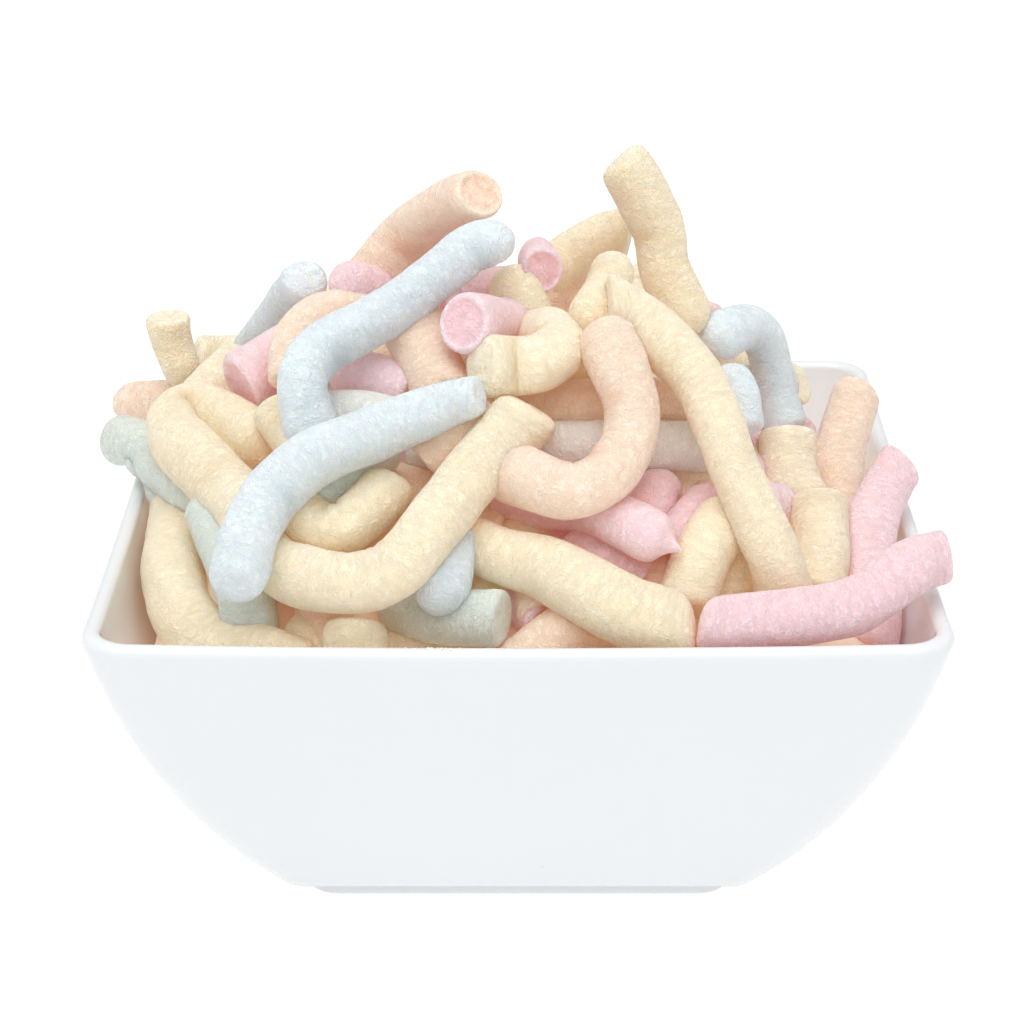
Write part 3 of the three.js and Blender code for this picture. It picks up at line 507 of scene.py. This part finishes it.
def makeBowl():
    foot, corner = bowlForm["footHalf"], bowlForm["footCorner"]
    footHeight, floorHeight = bowlForm["footHeight"], bowlForm["floorHeight"]
    # the foot, from its underside up: how far inside its edge, or past it, and how high
    rings = [footRing(foot - inset, corner - inset * 0.4, up) for inset, up in
             ((4.6, 0.5), (4.0, 0.15), (3.4, 0.0), (1.0, 0.0), (0.5, 0.08), (0.16, 0.3), (0.0, 0.7))]
    rings += [footRing(foot, corner, footHeight * share) for share in (0.45, 0.6, 0.75)]
    rings += [footRing(foot + grow, corner, footHeight + up) for grow, up in
              ((0.03, -0.3), (0.15, -0.1), (0.4, 0.05), (1.1, 0.35), (2.1, 0.9))]
    top = -bowlForm["rimRound"]
    for height in np.linspace(4.6 - rim, top, bowlMesh["bodyRings"]):
        rings.append(outerRing(height))
    for k in range(1, bowlMesh["rimRings"]):
        angle = math.pi * k / bowlMesh["rimRings"]
        inset = bowlForm["wall"] / 2 * (1 - math.cos(angle))
        rings.append(outerRing(top, inset, bowlForm["rimRound"] * math.sin(angle) ** 0.9))
    insideBottom = floorHeight - rim + 5
    for height in np.linspace(top, insideBottom, bowlMesh["insideRings"]):
        rings.append(outerRing(height, wallAt(height)))
    last = float(sideHalf(insideBottom, wallAt(insideBottom)))
    # the round into the floor: how far in from the wall, and how high over the floor
    for inward, up in ((1.2, 3.6), (3, 2.2), (5.4, 1.15), (8, 0.5), (11.5, 0.15), (16, 0)):
        rings.append(footRing(last - inward, corner - inward / 8, floorHeight + up))
    points, faces = loft(rings)
    finish, wires, shader = newFinish("glazedPorcelain", Roughness=glaze["roughness"], IOR=1.52,
                                      Coat_Weight=0.25, Coat_Roughness=0.03, Subsurface_Weight=0.12,
                                      Subsurface_Scale=0.002)
    shader.inputs["Subsurface Radius"].default_value = (1.0, 0.9, 0.8)
    at = wires.add("ShaderNodeTexCoord").outputs["Object"]
    tone = wires.noise(at, 35.0, 3.0)
    pure = linear(*glaze["colour"])
    cooler = linear(*(c - 2 for c in glaze["colour"]))
    pits = wires.add("ShaderNodeTexVoronoi", {"Vector": at, "Scale": 110.0}).outputs["Distance"]
    rare = wires.span(wires.noise(at, 60.0, 0.0), 0.66, 0.72)
    pit = wires.math("MULTIPLY", wires.span(pits, 0.03, 0.07, 1.0, 0.0), rare)
    colour = wires.mixColour(tone, pure, cooler)
    wires.tree.links.new(wires.mixColour(wires.math("MULTIPLY", pit, glaze["pinholes"]), colour,
                                         linear(*glaze["pinholeTone"])), shader.inputs["Base Color"])
    ripple = wires.noise(at, 90.0, 2.0, 0.4)
    height = wires.math("SUBTRACT", wires.math("MULTIPLY", ripple, glaze["ripple"]),
                        wires.math("MULTIPLY", pit, 0.6))
    bump = wires.add("ShaderNodeBump", {"Height": height, "Strength": 0.25, "Distance": 0.0004})
    wires.tree.links.new(bump.outputs[0], shader.inputs["Normal"])
    bowl = addMesh("porcelainBowl", points * mm, faces, finish)
    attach(bowl, "root")
    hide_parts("bowl")


makeBowl()
print("bowl made")


# the ropes' shapes
ropeForm = {"step": 0.9, "deepStep": 1.3, "sides": 40, "lump": 0.06, "dent": 0.55, "crease": 0.35,
            "facePit": 0.3, "tilt": 0.22, "leanLimit": 0.5, "squash": 0.16}
# how a rope ends, from its side to the middle of its end: distance from the end in mm, share of the
# rope's radius, how far out it is pushed in mm, and whether it is cut face
endForms = {
    "cut": [(3.2, 1.0, 0, 0), (2.0, 1.02, 0, 0), (1.1, 1.02, 0, 0), (0.5, 0.99, 0, 0), (0.16, 0.93, 0, 0.3),
            (0.07, 0.85, 0.02, 0.9), (0.06, 0.7, 0.05, 1), (0.05, 0.5, 0, 1), (0.04, 0.3, -0.1, 1),
            (0.03, 0.14, -0.1, 1), (0.02, 0.02, -0.1, 1)],
    "soft": [(3.4, 1.0, 0, 0), (2.2, 0.98, 0, 0), (1.3, 0.94, 0, 0), (0.7, 0.87, 0, 0),
             (0.3, 0.78, 0.05, 0.4), (0.1, 0.66, 0.1, 0.9), (0.07, 0.5, 0.2, 1), (0.05, 0.34, 0.22, 1),
             (0.03, 0.17, 0.22, 1), (0.02, 0.02, 0.22, 1)],
    "round": [(4.6, 1.0, 0, 0), (3.5, 0.97, 0, 0), (2.5, 0.89, 0, 0), (1.6, 0.76, 0, 0),
              (0.9, 0.6, 0, 0), (0.45, 0.43, 0, 0), (0.18, 0.26, 0, 0), (0.06, 0.12, 0, 0),
              (0.02, 0.02, 0.02, 0)],
    "ring": [(3.4, 1.0, 0, 0), (1.9, 1.01, 0, 0), (0.9, 0.98, 0, 0), (0.35, 0.91, 0, 0),
             (0.12, 0.84, 0, 0.6), (0.09, 0.78, -0.25, 1), (0.08, 0.72, -0.5, 1.8), (0.07, 0.62, -0.6, 2),
             (0.06, 0.45, -0.6, 2), (0.05, 0.25, -0.6, 2), (0.02, 0.02, -0.6, 2)],
    "pinch": [(5.4, 1.0, 0, 0), (4.2, 0.99, 0, 0), (3.2, 0.95, 0, 0), (2.4, 0.87, 0, 0), (1.8, 0.74, 0, 0.2),
              (1.3, 0.6, 0, 0.6), (0.9, 0.45, 0.1, 1.2), (0.55, 0.32, 0.5, 1.5), (0.3, 0.2, 1.1, 1.2),
              (0.12, 0.1, 1.7, 0.6), (0.02, 0.02, 2.0, 0.6)],
}
# of single ropes: the forms of their two ends, the way each cut end faces in the front view (right,
# up, toward the eye) where it isn't square to the rope, and even shares of the thickness along it
ropeLooks = {
    "blueFront": {"ends": ("soft", "cut"), "faces": ((-0.1, -0.62, 0.78), (0.8, 0.1, 0.5)),
                  "girths": (1.0, 1.0, 1.03, 1.05, 1.0, 0.88, 0.64)},
    "lemonSmile": {"ends": ("cut", "soft"), "faces": (None, (0.5, 0.82, 0.1)),
                   "girths": (1, 1, 1, 0.98, 0.98, 1.0, 1.12)},
    "lemonHook": {"ends": ("soft", "cut"), "faces": ((-0.75, 0, 0.66), None),
                  "girths": (1.14, 1.0, 1, 1, 0.96)},
    "pinkMid": {"ends": ("ring", "cut"), "faces": ((-0.5, 0.05, 0.86), None), "girths": (1.04, 0.98, 0.9)},
    "pinkTopRight": {"ends": ("ring", "cut"), "faces": ((0.15, -0.3, 0.94), None)},
    "pinkTopLeft": {"ends": ("round", "round")},
    "peachTop": {"ends": ("ring", "cut"), "faces": ((0.4, 0.3, 0.86), None),
                 "girths": (0.9, 0.9, 0.92, 1.04, 1.06)},
    "pinkLong": {"ends": ("cut", "pinch"), "girths": (0.8, 0.85, 0.9, 1.1, 1.16)},
    "blueBig": {"ends": ("round", "cut"), "faces": (None, (0.3, -0.95, 0)),
                "girths": (0.92, 0.98, 1, 1.02, 0.98, 1, 1)},
    "lemonPeak": {"ends": ("round", "round"), "girths": (1.02, 0.92, 0.86, 1, 0.9)},
    "lemonCurl": {"ends": ("soft", "cut")}, "lemonLoop": {"ends": ("cut", "round")},
    "pinkLeft": {"ends": ("ring", "cut"), "faces": ((-0.8, -0.48, 0.4), None),
                 "girths": (1.22, 1.06, 0.95, 0.95)},
    "blueStick": {"ends": ("soft", "cut"), "faces": ((0.15, 0.3, 0.94), None)},
    "blueSmall": {"ends": ("round", "cut")}, "blueArch": {"ends": ("round", "cut")},
    "mintTip": {"ends": ("cut", "round")},
    "pinkRight": {"ends": ("cut", "cut"), "faces": (None, (0.95, 0.28, 0.1)), "girths": (1, 1, 1, 0.86)},
    "pinkFront": {"ends": ("soft", "cut"), "faces": ((-0.98, 0.2, 0), (0.9, 0.1, 0.3)),
                  "girths": (0.97, 1, 1, 1, 0.92)},
    "peachRight": {"ends": ("round", "cut"), "girths": (1.06, 0.98, 1, 1)},
    "peachFarLeft": {"ends": ("round", "cut")}, "mintCorner": {"ends": ("cut", "cut")},
    "mintLeftLow": {"ends": ("round", "cut")},
    "lemonTall": {"ends": ("soft", "round"), "faces": ((-0.66, 0.72, 0.2), None),
                  "girths": (1.1, 1.02, 0.98, 0.92, 1, 1.05)},
    "lemonDiagonal": {"ends": ("cut", "cut"), "faces": ((0.97, -0.2, 0.1), None), "girths": (1.05, 1, 0.9)},
    "lemonBig": {"ends": ("cut", "cut"), "faces": ((-0.99, -0.1, 0.15), None),
                 "girths": (0.98, 1, 1, 1.03, 0.98, 1.0, 0.98)},
    "mintLeft": {"ends": ("cut", "cut"), "faces": ((-0.84, 0.54, 0), None)},
    "lemonRightHigh": {"ends": ("cut", "cut"), "faces": ((-0.05, 0.97, -0.25), None)},
    "lemonRightLow": {"ends": ("cut", "cut"), "faces": ((0, 0.96, -0.3), None),
                      "girths": (1.04, 0.94, 0.92)},
    "lemonStub": {"ends": ("cut", "round"), "faces": ((0, 0.9, 0.42), None), "girths": (1.02, 0.94, 0.88)},
    "lemonStubFront": {"ends": ("soft", "cut"), "faces": ((0.05, 0.95, -0.3), None)},
    "lemonTuck": {"ends": ("round", "cut")},
    "lemonLong": {"ends": ("cut", "soft"), "faces": (None, (0.97, 0.1, 0.2)),
                  "girths": (0.82, 0.88, 0.98, 1.1, 1.1, 1.04)},
}


def inView(right, up, toward):  # a direction given in the front view
    tilt = frontView["tilt"]
    return np.array([right, up * math.sin(tilt) - toward * math.cos(tilt),
                     up * math.cos(tilt) + toward * math.sin(tilt)])


def ringsOf(rope, index):
    step, radius = ropeForm["deepStep" if rope["rank"] == 2 else "step"], rope["radius"]
    draws = np.random.default_rng(index)
    look = ropeLooks.get(rope["name"], {})
    fine = smoothLine(rope["line"], step / 3)
    for _ in range(6):
        fine[1:-1] = 0.25 * (fine[:-2] + fine[2:]) + 0.5 * fine[1:-1]
    run = np.concatenate([[0], np.cumsum(np.linalg.norm(np.diff(fine, axis=0), axis=1))])
    total = run[-1]
    form = [endForms[end] for end in look.get("ends", ("cut", "cut"))]
    startEnd, lastEnd = form[0][0][0], total - form[1][0][0]
    count = max(2, int((lastEnd - startEnd) / step))
    rows = [(back, share, -push, face) for back, share, push, face in form[0][::-1]]
    rows += [(at, 1.0, 0.0, 0.0) for at in np.linspace(startEnd, lastEnd, count + 1)[1:-1]]
    rows += [(total - back, share, push, face) for back, share, push, face in form[1]]
    at, share, push, face = np.array(rows).T

    def along(places):
        return np.stack([np.interp(places, run, fine[:, k]) for k in range(3)], 1)

    ahead = along(at + 0.6) - along(at - 0.6)
    ahead /= np.linalg.norm(ahead, axis=1)[:, None]
    bend = 2.4
    curl = (along(at + bend) + along(at - bend) - 2 * along(at)) / bend ** 2
    curl *= radius * np.clip(np.minimum(at, total - at) / bend - 1, 0, 1)[:, None]
    out = ahead * np.where(at < total / 2, -1, 1)[:, None]
    slant = np.zeros_like(out)      # how far each ring leans, to turn the end's face
    for end, facing in enumerate(look.get("faces", (None, None))):
        way = out[-end]
        wide = ropeForm["tilt"] if facing is None else 0
        turned = (way if facing is None else inView(*facing)) + wide * draws.uniform(-1, 1, 3)
        straight = max(float(turned @ way), 0.45)
        lean = way * (turned @ way) / straight - turned / straight
        lean *= ropeForm["leanLimit"] / max(ropeForm["leanLimit"], float(np.linalg.norm(lean)))
        reach = 1.5 + 2.4 * radius * max(float(np.linalg.norm(lean)), 0.4)
        far = np.clip((at if end == 0 else total - at) / reach, 0, 1)
        slant += lean * (1 - far * far * (3 - 2 * far))[:, None]
    girths = look.get("girths", (1, 1))
    shares = np.interp(at, np.linspace(0, total, len(girths)), girths)
    for _ in range(3):
        shares[1:-1] = 0.25 * (shares[:-2] + shares[2:]) + 0.5 * shares[1:-1]
    across = np.cross(ahead, draws.normal(size=3))
    across /= np.linalg.norm(across, axis=1)[:, None]
    flat = ropeForm["squash"] * (0.5 + 0.5 * np.sin(at / 11 + draws.uniform(0, 6)))
    full = radius * shares
    return {"point": along(at), "push": ahead * push[:, None], "girth": share * full, "run": at,
            "face": face, "curl": curl, "out": out, "slant": slant, "full": full,
            "squash": across * np.sqrt(flat)[:, None], "seed": np.full(len(at), 1.0 + index)}


def ropeTree():
    tree = bpy.data.node_groups.new("candyRopes", "GeometryNodeTree")
    for name, kind in (("Lines", "NodeSocketGeometry"), ("Sides", "NodeSocketInt"),
                       ("Lump Share", "NodeSocketFloat"), ("Dent Depth", "NodeSocketFloat"),
                       ("Crease Depth", "NodeSocketFloat"), ("Face Pit Depth", "NodeSocketFloat"),
                       ("Finish", "NodeSocketMaterial")):
        tree.interface.new_socket(name, in_out="INPUT", socket_type=kind)
    tree.interface.new_socket("Ropes", in_out="OUTPUT", socket_type="NodeSocketGeometry")
    wires = Wires(tree)
    given = wires.add("NodeGroupInput").outputs

    def named(name, kind="FLOAT"):
        return wires.add("GeometryNodeInputNamedAttribute", {"Name": name}, data_type=kind).outputs[0]

    def store(geometry, name, value, kind="FLOAT"):
        return wires.add("GeometryNodeStoreNamedAttribute", {"Geometry": geometry, "Name": name,
                         "Value": value}, data_type=kind, domain="POINT").outputs[0]

    line = wires.add("GeometryNodeMeshToCurve", {"Mesh": given["Lines"]}).outputs[0]
    position = wires.add("GeometryNodeInputPosition").outputs[0]
    line = store(line, "middle", position, "FLOAT_VECTOR")
    circle = wires.add("GeometryNodeCurvePrimitiveCircle", {"Resolution": given["Sides"], "Radius": mm})
    factor = wires.add("GeometryNodeSplineParameter").outputs["Factor"]
    circle = store(circle.outputs[0], "spoke", wires.math("MULTIPLY", factor, 2 * math.pi))
    tube = wires.add("GeometryNodeCurveToMesh", {"Curve": line, "Profile Curve": circle,
                     "Fill Caps": True}).outputs[0]
    middle, curl, out = (named(key, "FLOAT_VECTOR") for key in ("middle", "curl", "out"))
    radial = wires.vector("NORMALIZE", wires.vector("SUBTRACT", position, middle))
    girth, full, run, seed, face, spoke = (named(key) for key in ("girth", "full", "run", "seed", "face",
                                                                  "spoke"))
    # the rope as if it lay straight, in mm, each rope in its own stretch of the noises
    straight = wires.add("ShaderNodeCombineXYZ", {
        "X": wires.math("MULTIPLY", wires.math("COSINE", spoke), girth),
        "Y": wires.math("MULTIPLY", wires.math("SINE", spoke), girth),
        "Z": wires.math("MULTIPLY_ADD", seed, 137.0, run)}).outputs[0]
    lump = wires.centredNoise(wires.vector("MULTIPLY", straight, (0.06, 0.06, 0.055)), 1.0, 1.0)
    swell = wires.math("MULTIPLY", wires.math("MULTIPLY", lump, given["Lump Share"]), full)
    dents = wires.centredNoise(wires.vector("MULTIPLY", straight, (0.16, 0.16, 0.11)), 1.0, 2.0)
    dented = wires.math("MULTIPLY", dents, given["Dent Depth"])
    # creases run across the rope on the inner side of a bend
    inner = wires.math("MAXIMUM", wires.vector("DOT_PRODUCT", radial, curl), 0.0)
    folded = wires.span(inner, 0.12, 0.5)
    waves = wires.centredNoise(wires.vector("MULTIPLY", straight, (0.05, 0.05, 0.3)), 1.0, 1.0, 0.5)
    ridge = wires.math("ABSOLUTE", waves)
    groove = wires.math("MULTIPLY", wires.span(ridge, 0.0, 0.16, 1.0, 0.0), folded)
    creased = wires.math("MULTIPLY", groove, given["Crease Depth"])
    share = wires.math("DIVIDE", girth, full)
    swollen = wires.math("ADD", girth, wires.math("MULTIPLY", swell, share))
    swollen = wires.math("ADD", swollen, wires.math("MULTIPLY", dented, share))
    radius = wires.math("SUBTRACT", swollen, creased)
    pits = wires.centredNoise(wires.vector("SCALE", straight, 0.55), 1.0, 3.0, 0.6)
    pitted = wires.math("MULTIPLY", wires.math("MULTIPLY", pits, face), given["Face Pit Depth"])
    around = wires.vector("SCALE", radial, radius)
    squash = named("squash", "FLOAT_VECTOR")
    pressed = wires.vector("DOT_PRODUCT", around, squash)
    around = wires.vector("SUBTRACT", around, wires.vector("SCALE", squash, pressed))
    leaning = wires.vector("DOT_PRODUCT", around, named("slant", "FLOAT_VECTOR"))
    offset = wires.vector("ADD", wires.vector("ADD", around, named("push", "FLOAT_VECTOR")),
                          wires.vector("SCALE", out, wires.math("ADD", leaning, pitted)))
    placed = wires.vector("ADD", middle, wires.vector("SCALE", offset, mm))
    tube = store(tube, "straight", straight, "FLOAT_VECTOR")
    # the inner side of bends, kept for the finish to paint shade into
    tube = store(tube, "foldShade", folded)
    tube = wires.add("GeometryNodeSetPosition", {"Geometry": tube, "Position": placed}).outputs[0]
    tube = wires.add("GeometryNodeSetShadeSmooth", {"Geometry": tube}).outputs[0]
    tube = wires.add("GeometryNodeRealizeInstances", {"Geometry": tube}).outputs[0]
    tube = wires.add("GeometryNodeSetMaterial", {"Geometry": tube, "Material": given["Finish"]}).outputs[0]
    wires.add("NodeGroupOutput", {"Ropes": tube})
    return tree


def plainMesh(maker):  # the modifiers' result as a mesh of its own
    graph = bpy.context.evaluated_depsgraph_get()
    mesh = bpy.data.meshes.new_from_object(maker.evaluated_get(graph), preserve_all_data_layers=True,
                                           depsgraph=graph)
    maker.modifiers.clear()
    old = maker.data
    maker.data = mesh
    bpy.data.meshes.remove(old)
    mesh.name = maker.name


def makeRopes(name, rings, tree, finish):
    points, edges, columns = [], [], {}
    for ring in rings:
        start = len(points)
        points += [tuple(p) for p in ring["point"] * mm]
        edges += [(start + k, start + k + 1) for k in range(len(ring["point"]) - 1)]
    mesh = bpy.data.meshes.new(name + "Lines")
    mesh.from_pydata(points, edges, [])
    for key in ("girth", "full", "run", "face", "seed", "push", "curl", "out", "slant", "squash"):
        values = np.concatenate([ring[key] for ring in rings]).astype(np.float32)
        flat = values.ndim == 1
        layer = mesh.attributes.new(key, "FLOAT" if flat else "FLOAT_VECTOR", "POINT")
        layer.data.foreach_set("value" if flat else "vector", values.ravel())
    piece = bpy.data.objects.new(name, mesh)
    bpy.context.collection.objects.link(piece)
    maker = piece.modifiers.new("candyRopes", "NODES")
    maker.node_group = tree
    sockets = {item.name: item.identifier for item in tree.interface.items_tree if item.in_out == "INPUT"}
    for key, value in (("Sides", ropeForm["sides"]), ("Lump Share", ropeForm["lump"]),
                       ("Dent Depth", ropeForm["dent"]), ("Crease Depth", ropeForm["crease"]),
                       ("Face Pit Depth", ropeForm["facePit"]), ("Finish", finish)):
        maker[sockets[key]] = value
    plainMesh(piece)
    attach(piece, "root")
    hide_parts("candy_heap")
    return piece


# the candy's finish, one for each tint
candyTints = {  # main tone, paler tone, painted shade tone for folds, hollow ends and wrinkles, and a painted glow colour with its strength (an emission standing in for warm light in the gaps)
    "lemon": ((249, 237, 209), (252, 242, 222), (244, 220, 172), (255, 190, 118), 0.07),
    "peach": ((251, 228, 207), (252, 236, 220), (245, 198, 166), (255, 164, 112), 0.07),
    "pink": ((248, 222, 228), (250, 231, 235), (240, 184, 192), (255, 134, 124), 0.07),
    "blue": ((229, 240, 245), (238, 245, 249), (208, 224, 230), (190, 208, 214), 0.05),
    "mint": ((224, 233, 224), (234, 240, 234), (204, 214, 200), (190, 194, 160), 0.04),
    "white": ((240, 241, 236), (245, 246, 243), (222, 220, 212), (226, 204, 184), 0.06),
}
candySurface = {"soft": 0.5, "softScale": 0.003, "roughness": 0.92, "sheen": 0.12,
                "grain": 0.08, "wrinkle": 1.0, "wave": 0.8}


def candyFinish(tint):
    main, pale, foldShade, paintedGlow, paintedGlowStrength = candyTints[tint]
    finish, wires, shader = newFinish(tint + "Candy", Roughness=candySurface["roughness"],
                                      Subsurface_Weight=candySurface["soft"],
                                      Subsurface_Scale=candySurface["softScale"],
                                      Sheen_Weight=candySurface["sheen"], Sheen_Roughness=0.6)
    shader.inputs["Specular IOR Level"].default_value = 0.2
    # painted glow: a faint warm emission over the whole candy, standing in for light in the shaded gaps
    shader.inputs["Emission Color"].default_value = linear(*paintedGlow)
    shader.inputs["Emission Strength"].default_value = paintedGlowStrength
    shader.inputs["Subsurface Radius"].default_value = (1.0, 0.7, 0.5)

    def read(name, output):
        attribute = wires.add("ShaderNodeAttribute", attribute_name=name, attribute_type="GEOMETRY")
        return attribute.outputs[output]

    straight, folded, face = read("straight", "Vector"), read("foldShade", "Fac"), read("face", "Fac")
    seed = read("seed", "Fac")
    at = wires.add("ShaderNodeTexCoord").outputs["Object"]
    mottle = wires.span(wires.noise(wires.vector("MULTIPLY", straight, (0.25, 0.25, 0.12)), 1.0, 3.0, 0.6),
                        0.35, 0.7)
    ownPlace = wires.add("ShaderNodeCombineXYZ", {"X": wires.math("MULTIPLY", seed, 7.31)}).outputs[0]
    own = wires.noise(ownPlace, 1.0, 0.0)
    share = wires.math("ADD", wires.math("MULTIPLY", mottle, 0.45), wires.span(own, 0.3, 0.7, 0.0, 0.5),
                       clamp=True)
    colour = wires.mixColour(share, linear(*main), linear(*pale))
    # painted shade: the inner side of bends darkened towards the fold shade tone
    colour = wires.mixColour(wires.math("MULTIPLY", folded, 0.5), colour, linear(*foldShade))
    colour = wires.mixColour(wires.span(face, 0.0, 1.0, 0.0, 0.5), colour, linear(*pale))
    # painted shade in the hollows of ringed and pinched ends
    colour = wires.mixColour(wires.span(face, 1.0, 2.0, 0.0, 0.3), colour, linear(*foldShade))
    # leathery wrinkles, drawn out across the rope, and a powdery grain
    grain = wires.noise(at, 3800.0, 2.0, 0.7)
    skin = wires.centredNoise(wires.vector("MULTIPLY", straight, (0.55, 0.55, 0.95)), 1.0, 3.0, 0.6, 1.4)
    ridges = wires.math("ABSOLUTE", skin)
    # painted shade along the wrinkle lines, over the wrinkle bumps below
    colour = wires.mixColour(wires.span(ridges, 0.0, 0.14, 0.3, 0.0), colour, linear(*foldShade))
    wires.tree.links.new(colour, shader.inputs["Base Color"])
    broad = wires.noise(wires.vector("MULTIPLY", straight, (0.30, 0.30, 0.55)), 1.0, 2.0, 0.5, 0.4)
    height = wires.math("MULTIPLY", grain, candySurface["grain"])
    height = wires.math("MULTIPLY_ADD", ridges, candySurface["wrinkle"], height)
    height = wires.math("MULTIPLY_ADD", broad, candySurface["wave"], height)
    bump = wires.add("ShaderNodeBump", {"Height": height, "Strength": 0.8, "Distance": mm})
    wires.tree.links.new(bump.outputs[0], shader.inputs["Normal"])
    return finish


# the heap
coreForm = {"under": 4.2, "edgeHalf": 59.5, "corner": 6.5, "overFloor": 1, "top": -20, "offWall": 0.7,
            "narrow": 0.3, "bottomNarrow": (15, 3), "downSteps": 16, "topSteps": 24, "sideSteps": 20,
            "cornerSteps": 6}


def makeCore(finish):  # the heap's middle, which shows only at the bottom of the gaps
    def ringAt(half, corner, bow, height):
        return squareRing(half, corner, bow, height, coreForm["sideSteps"], coreForm["cornerSteps"])

    rings, corner, foot = [], coreForm["corner"], coreForm["bottomNarrow"]
    bottom = bowlForm["floorHeight"] + coreForm["overFloor"] - rim
    for k, height in enumerate(np.linspace(bottom, coreForm["top"], coreForm["downSteps"])):
        narrow = foot[k] if k < len(foot) else coreForm["narrow"]
        half = float(sideHalf(height, wallAt(height) + coreForm["offWall"])) - narrow
        rings.append(ringAt(half, corner, 0, rim + height))
    for share in 1 - np.arange(coreForm["topSteps"]) / coreForm["topSteps"]:
        ring = ringAt(coreForm["edgeHalf"] * share, corner * share, 0, 0)
        ring[:, 2] = rim + mound(ring[:, 0], ring[:, 1]) - coreForm["under"]
        rings.append(ring)
    points, faces = loft(rings)
    core = addMesh("heapCore", points * mm, faces, finish)
    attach(core, "root")
    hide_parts("candy_heap")


def makeHeap():
    ropes = settle(layRopes())
    print("ropes laid:", len(ropes))
    tree = ropeTree()
    finishes = {tint: candyFinish(tint) for tint in candyTints}
    makeCore(finishes["peach"])
    heaps = {}
    for index, rope in enumerate(ropes):
        rings = ringsOf(rope, index)
        part = "Lower" if rope["rank"] == 2 and rope["tint"] == "lemon" else ""
        heaps.setdefault((rope["tint"], part), []).append(rings)
    for (tint, part), rings in heaps.items():
        piece = makeRopes(tint + "Ropes" + part, rings, tree, finishes[tint])
        print(piece.name, "triangles:", sum(len(face.vertices) - 2 for face in piece.data.polygons))


# sugar crumbs on the front rim
crumbForm = {"count": 24, "half": 0.1, "across": -13.6, "spread": 1.9, "deep": 0.5, "seed": 5}


def makeCrumbs():
    draws = np.random.default_rng(crumbForm["seed"])
    corners = np.array([(x, y, z) for z in (-1, 1) for y in (-1, 1) for x in (-1, 1)], float)
    sides = ((0, 2, 3, 1), (4, 5, 7, 6), (0, 1, 5, 4), (2, 6, 7, 3), (0, 4, 6, 2), (1, 3, 7, 5))
    flat = bowlForm["rimWidth"] / 2 - bowlForm["rimCorner"]
    points, faces = [], []
    for _ in range(crumbForm["count"]):
        half, turn = crumbForm["half"] * draws.uniform(0.5, 1.5), draws.uniform(0, math.pi)
        x = crumbForm["across"] + crumbForm["spread"] * draws.normal()
        aside = crumbForm["deep"] * draws.uniform(-1, 1)
        curve = bowlForm["rimRound"]
        top = rim - bowlForm["rimSag"] * (1 - (x / flat) ** 2) + math.sqrt(curve ** 2 - aside ** 2) - curve
        bit = corners * half * draws.uniform(0.75, 1.15, corners.shape)
        c, s = math.cos(turn), math.sin(turn)
        bit = np.stack([bit[:, 0] * c - bit[:, 1] * s, bit[:, 0] * s + bit[:, 1] * c, bit[:, 2]], 1)
        start = len(points)
        points += list(bit + (x, curve - bowlForm["rimWidth"] / 2 + aside, top + 0.7 * half))
        faces += [tuple(start + k for k in side) for side in sides]
    finish, wires, shader = newFinish("sugarCrumb", Roughness=0.45, Subsurface_Weight=0.4,
                                      Subsurface_Scale=0.0006)
    at = wires.add("ShaderNodeTexCoord").outputs["Object"]
    wires.tree.links.new(wires.mixColour(wires.noise(at, 2500.0), linear(250, 244, 228),
                                         linear(255, 252, 246)), shader.inputs["Base Color"])
    crumbs = addMesh("sugarCrumbs", np.array(points) * mm, faces, finish)
    crumbs.data.shade_flat()
    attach(crumbs, "root")
    print("sugar crumbs:", crumbForm["count"])


makeHeap()
makeCrumbs()

print("done")
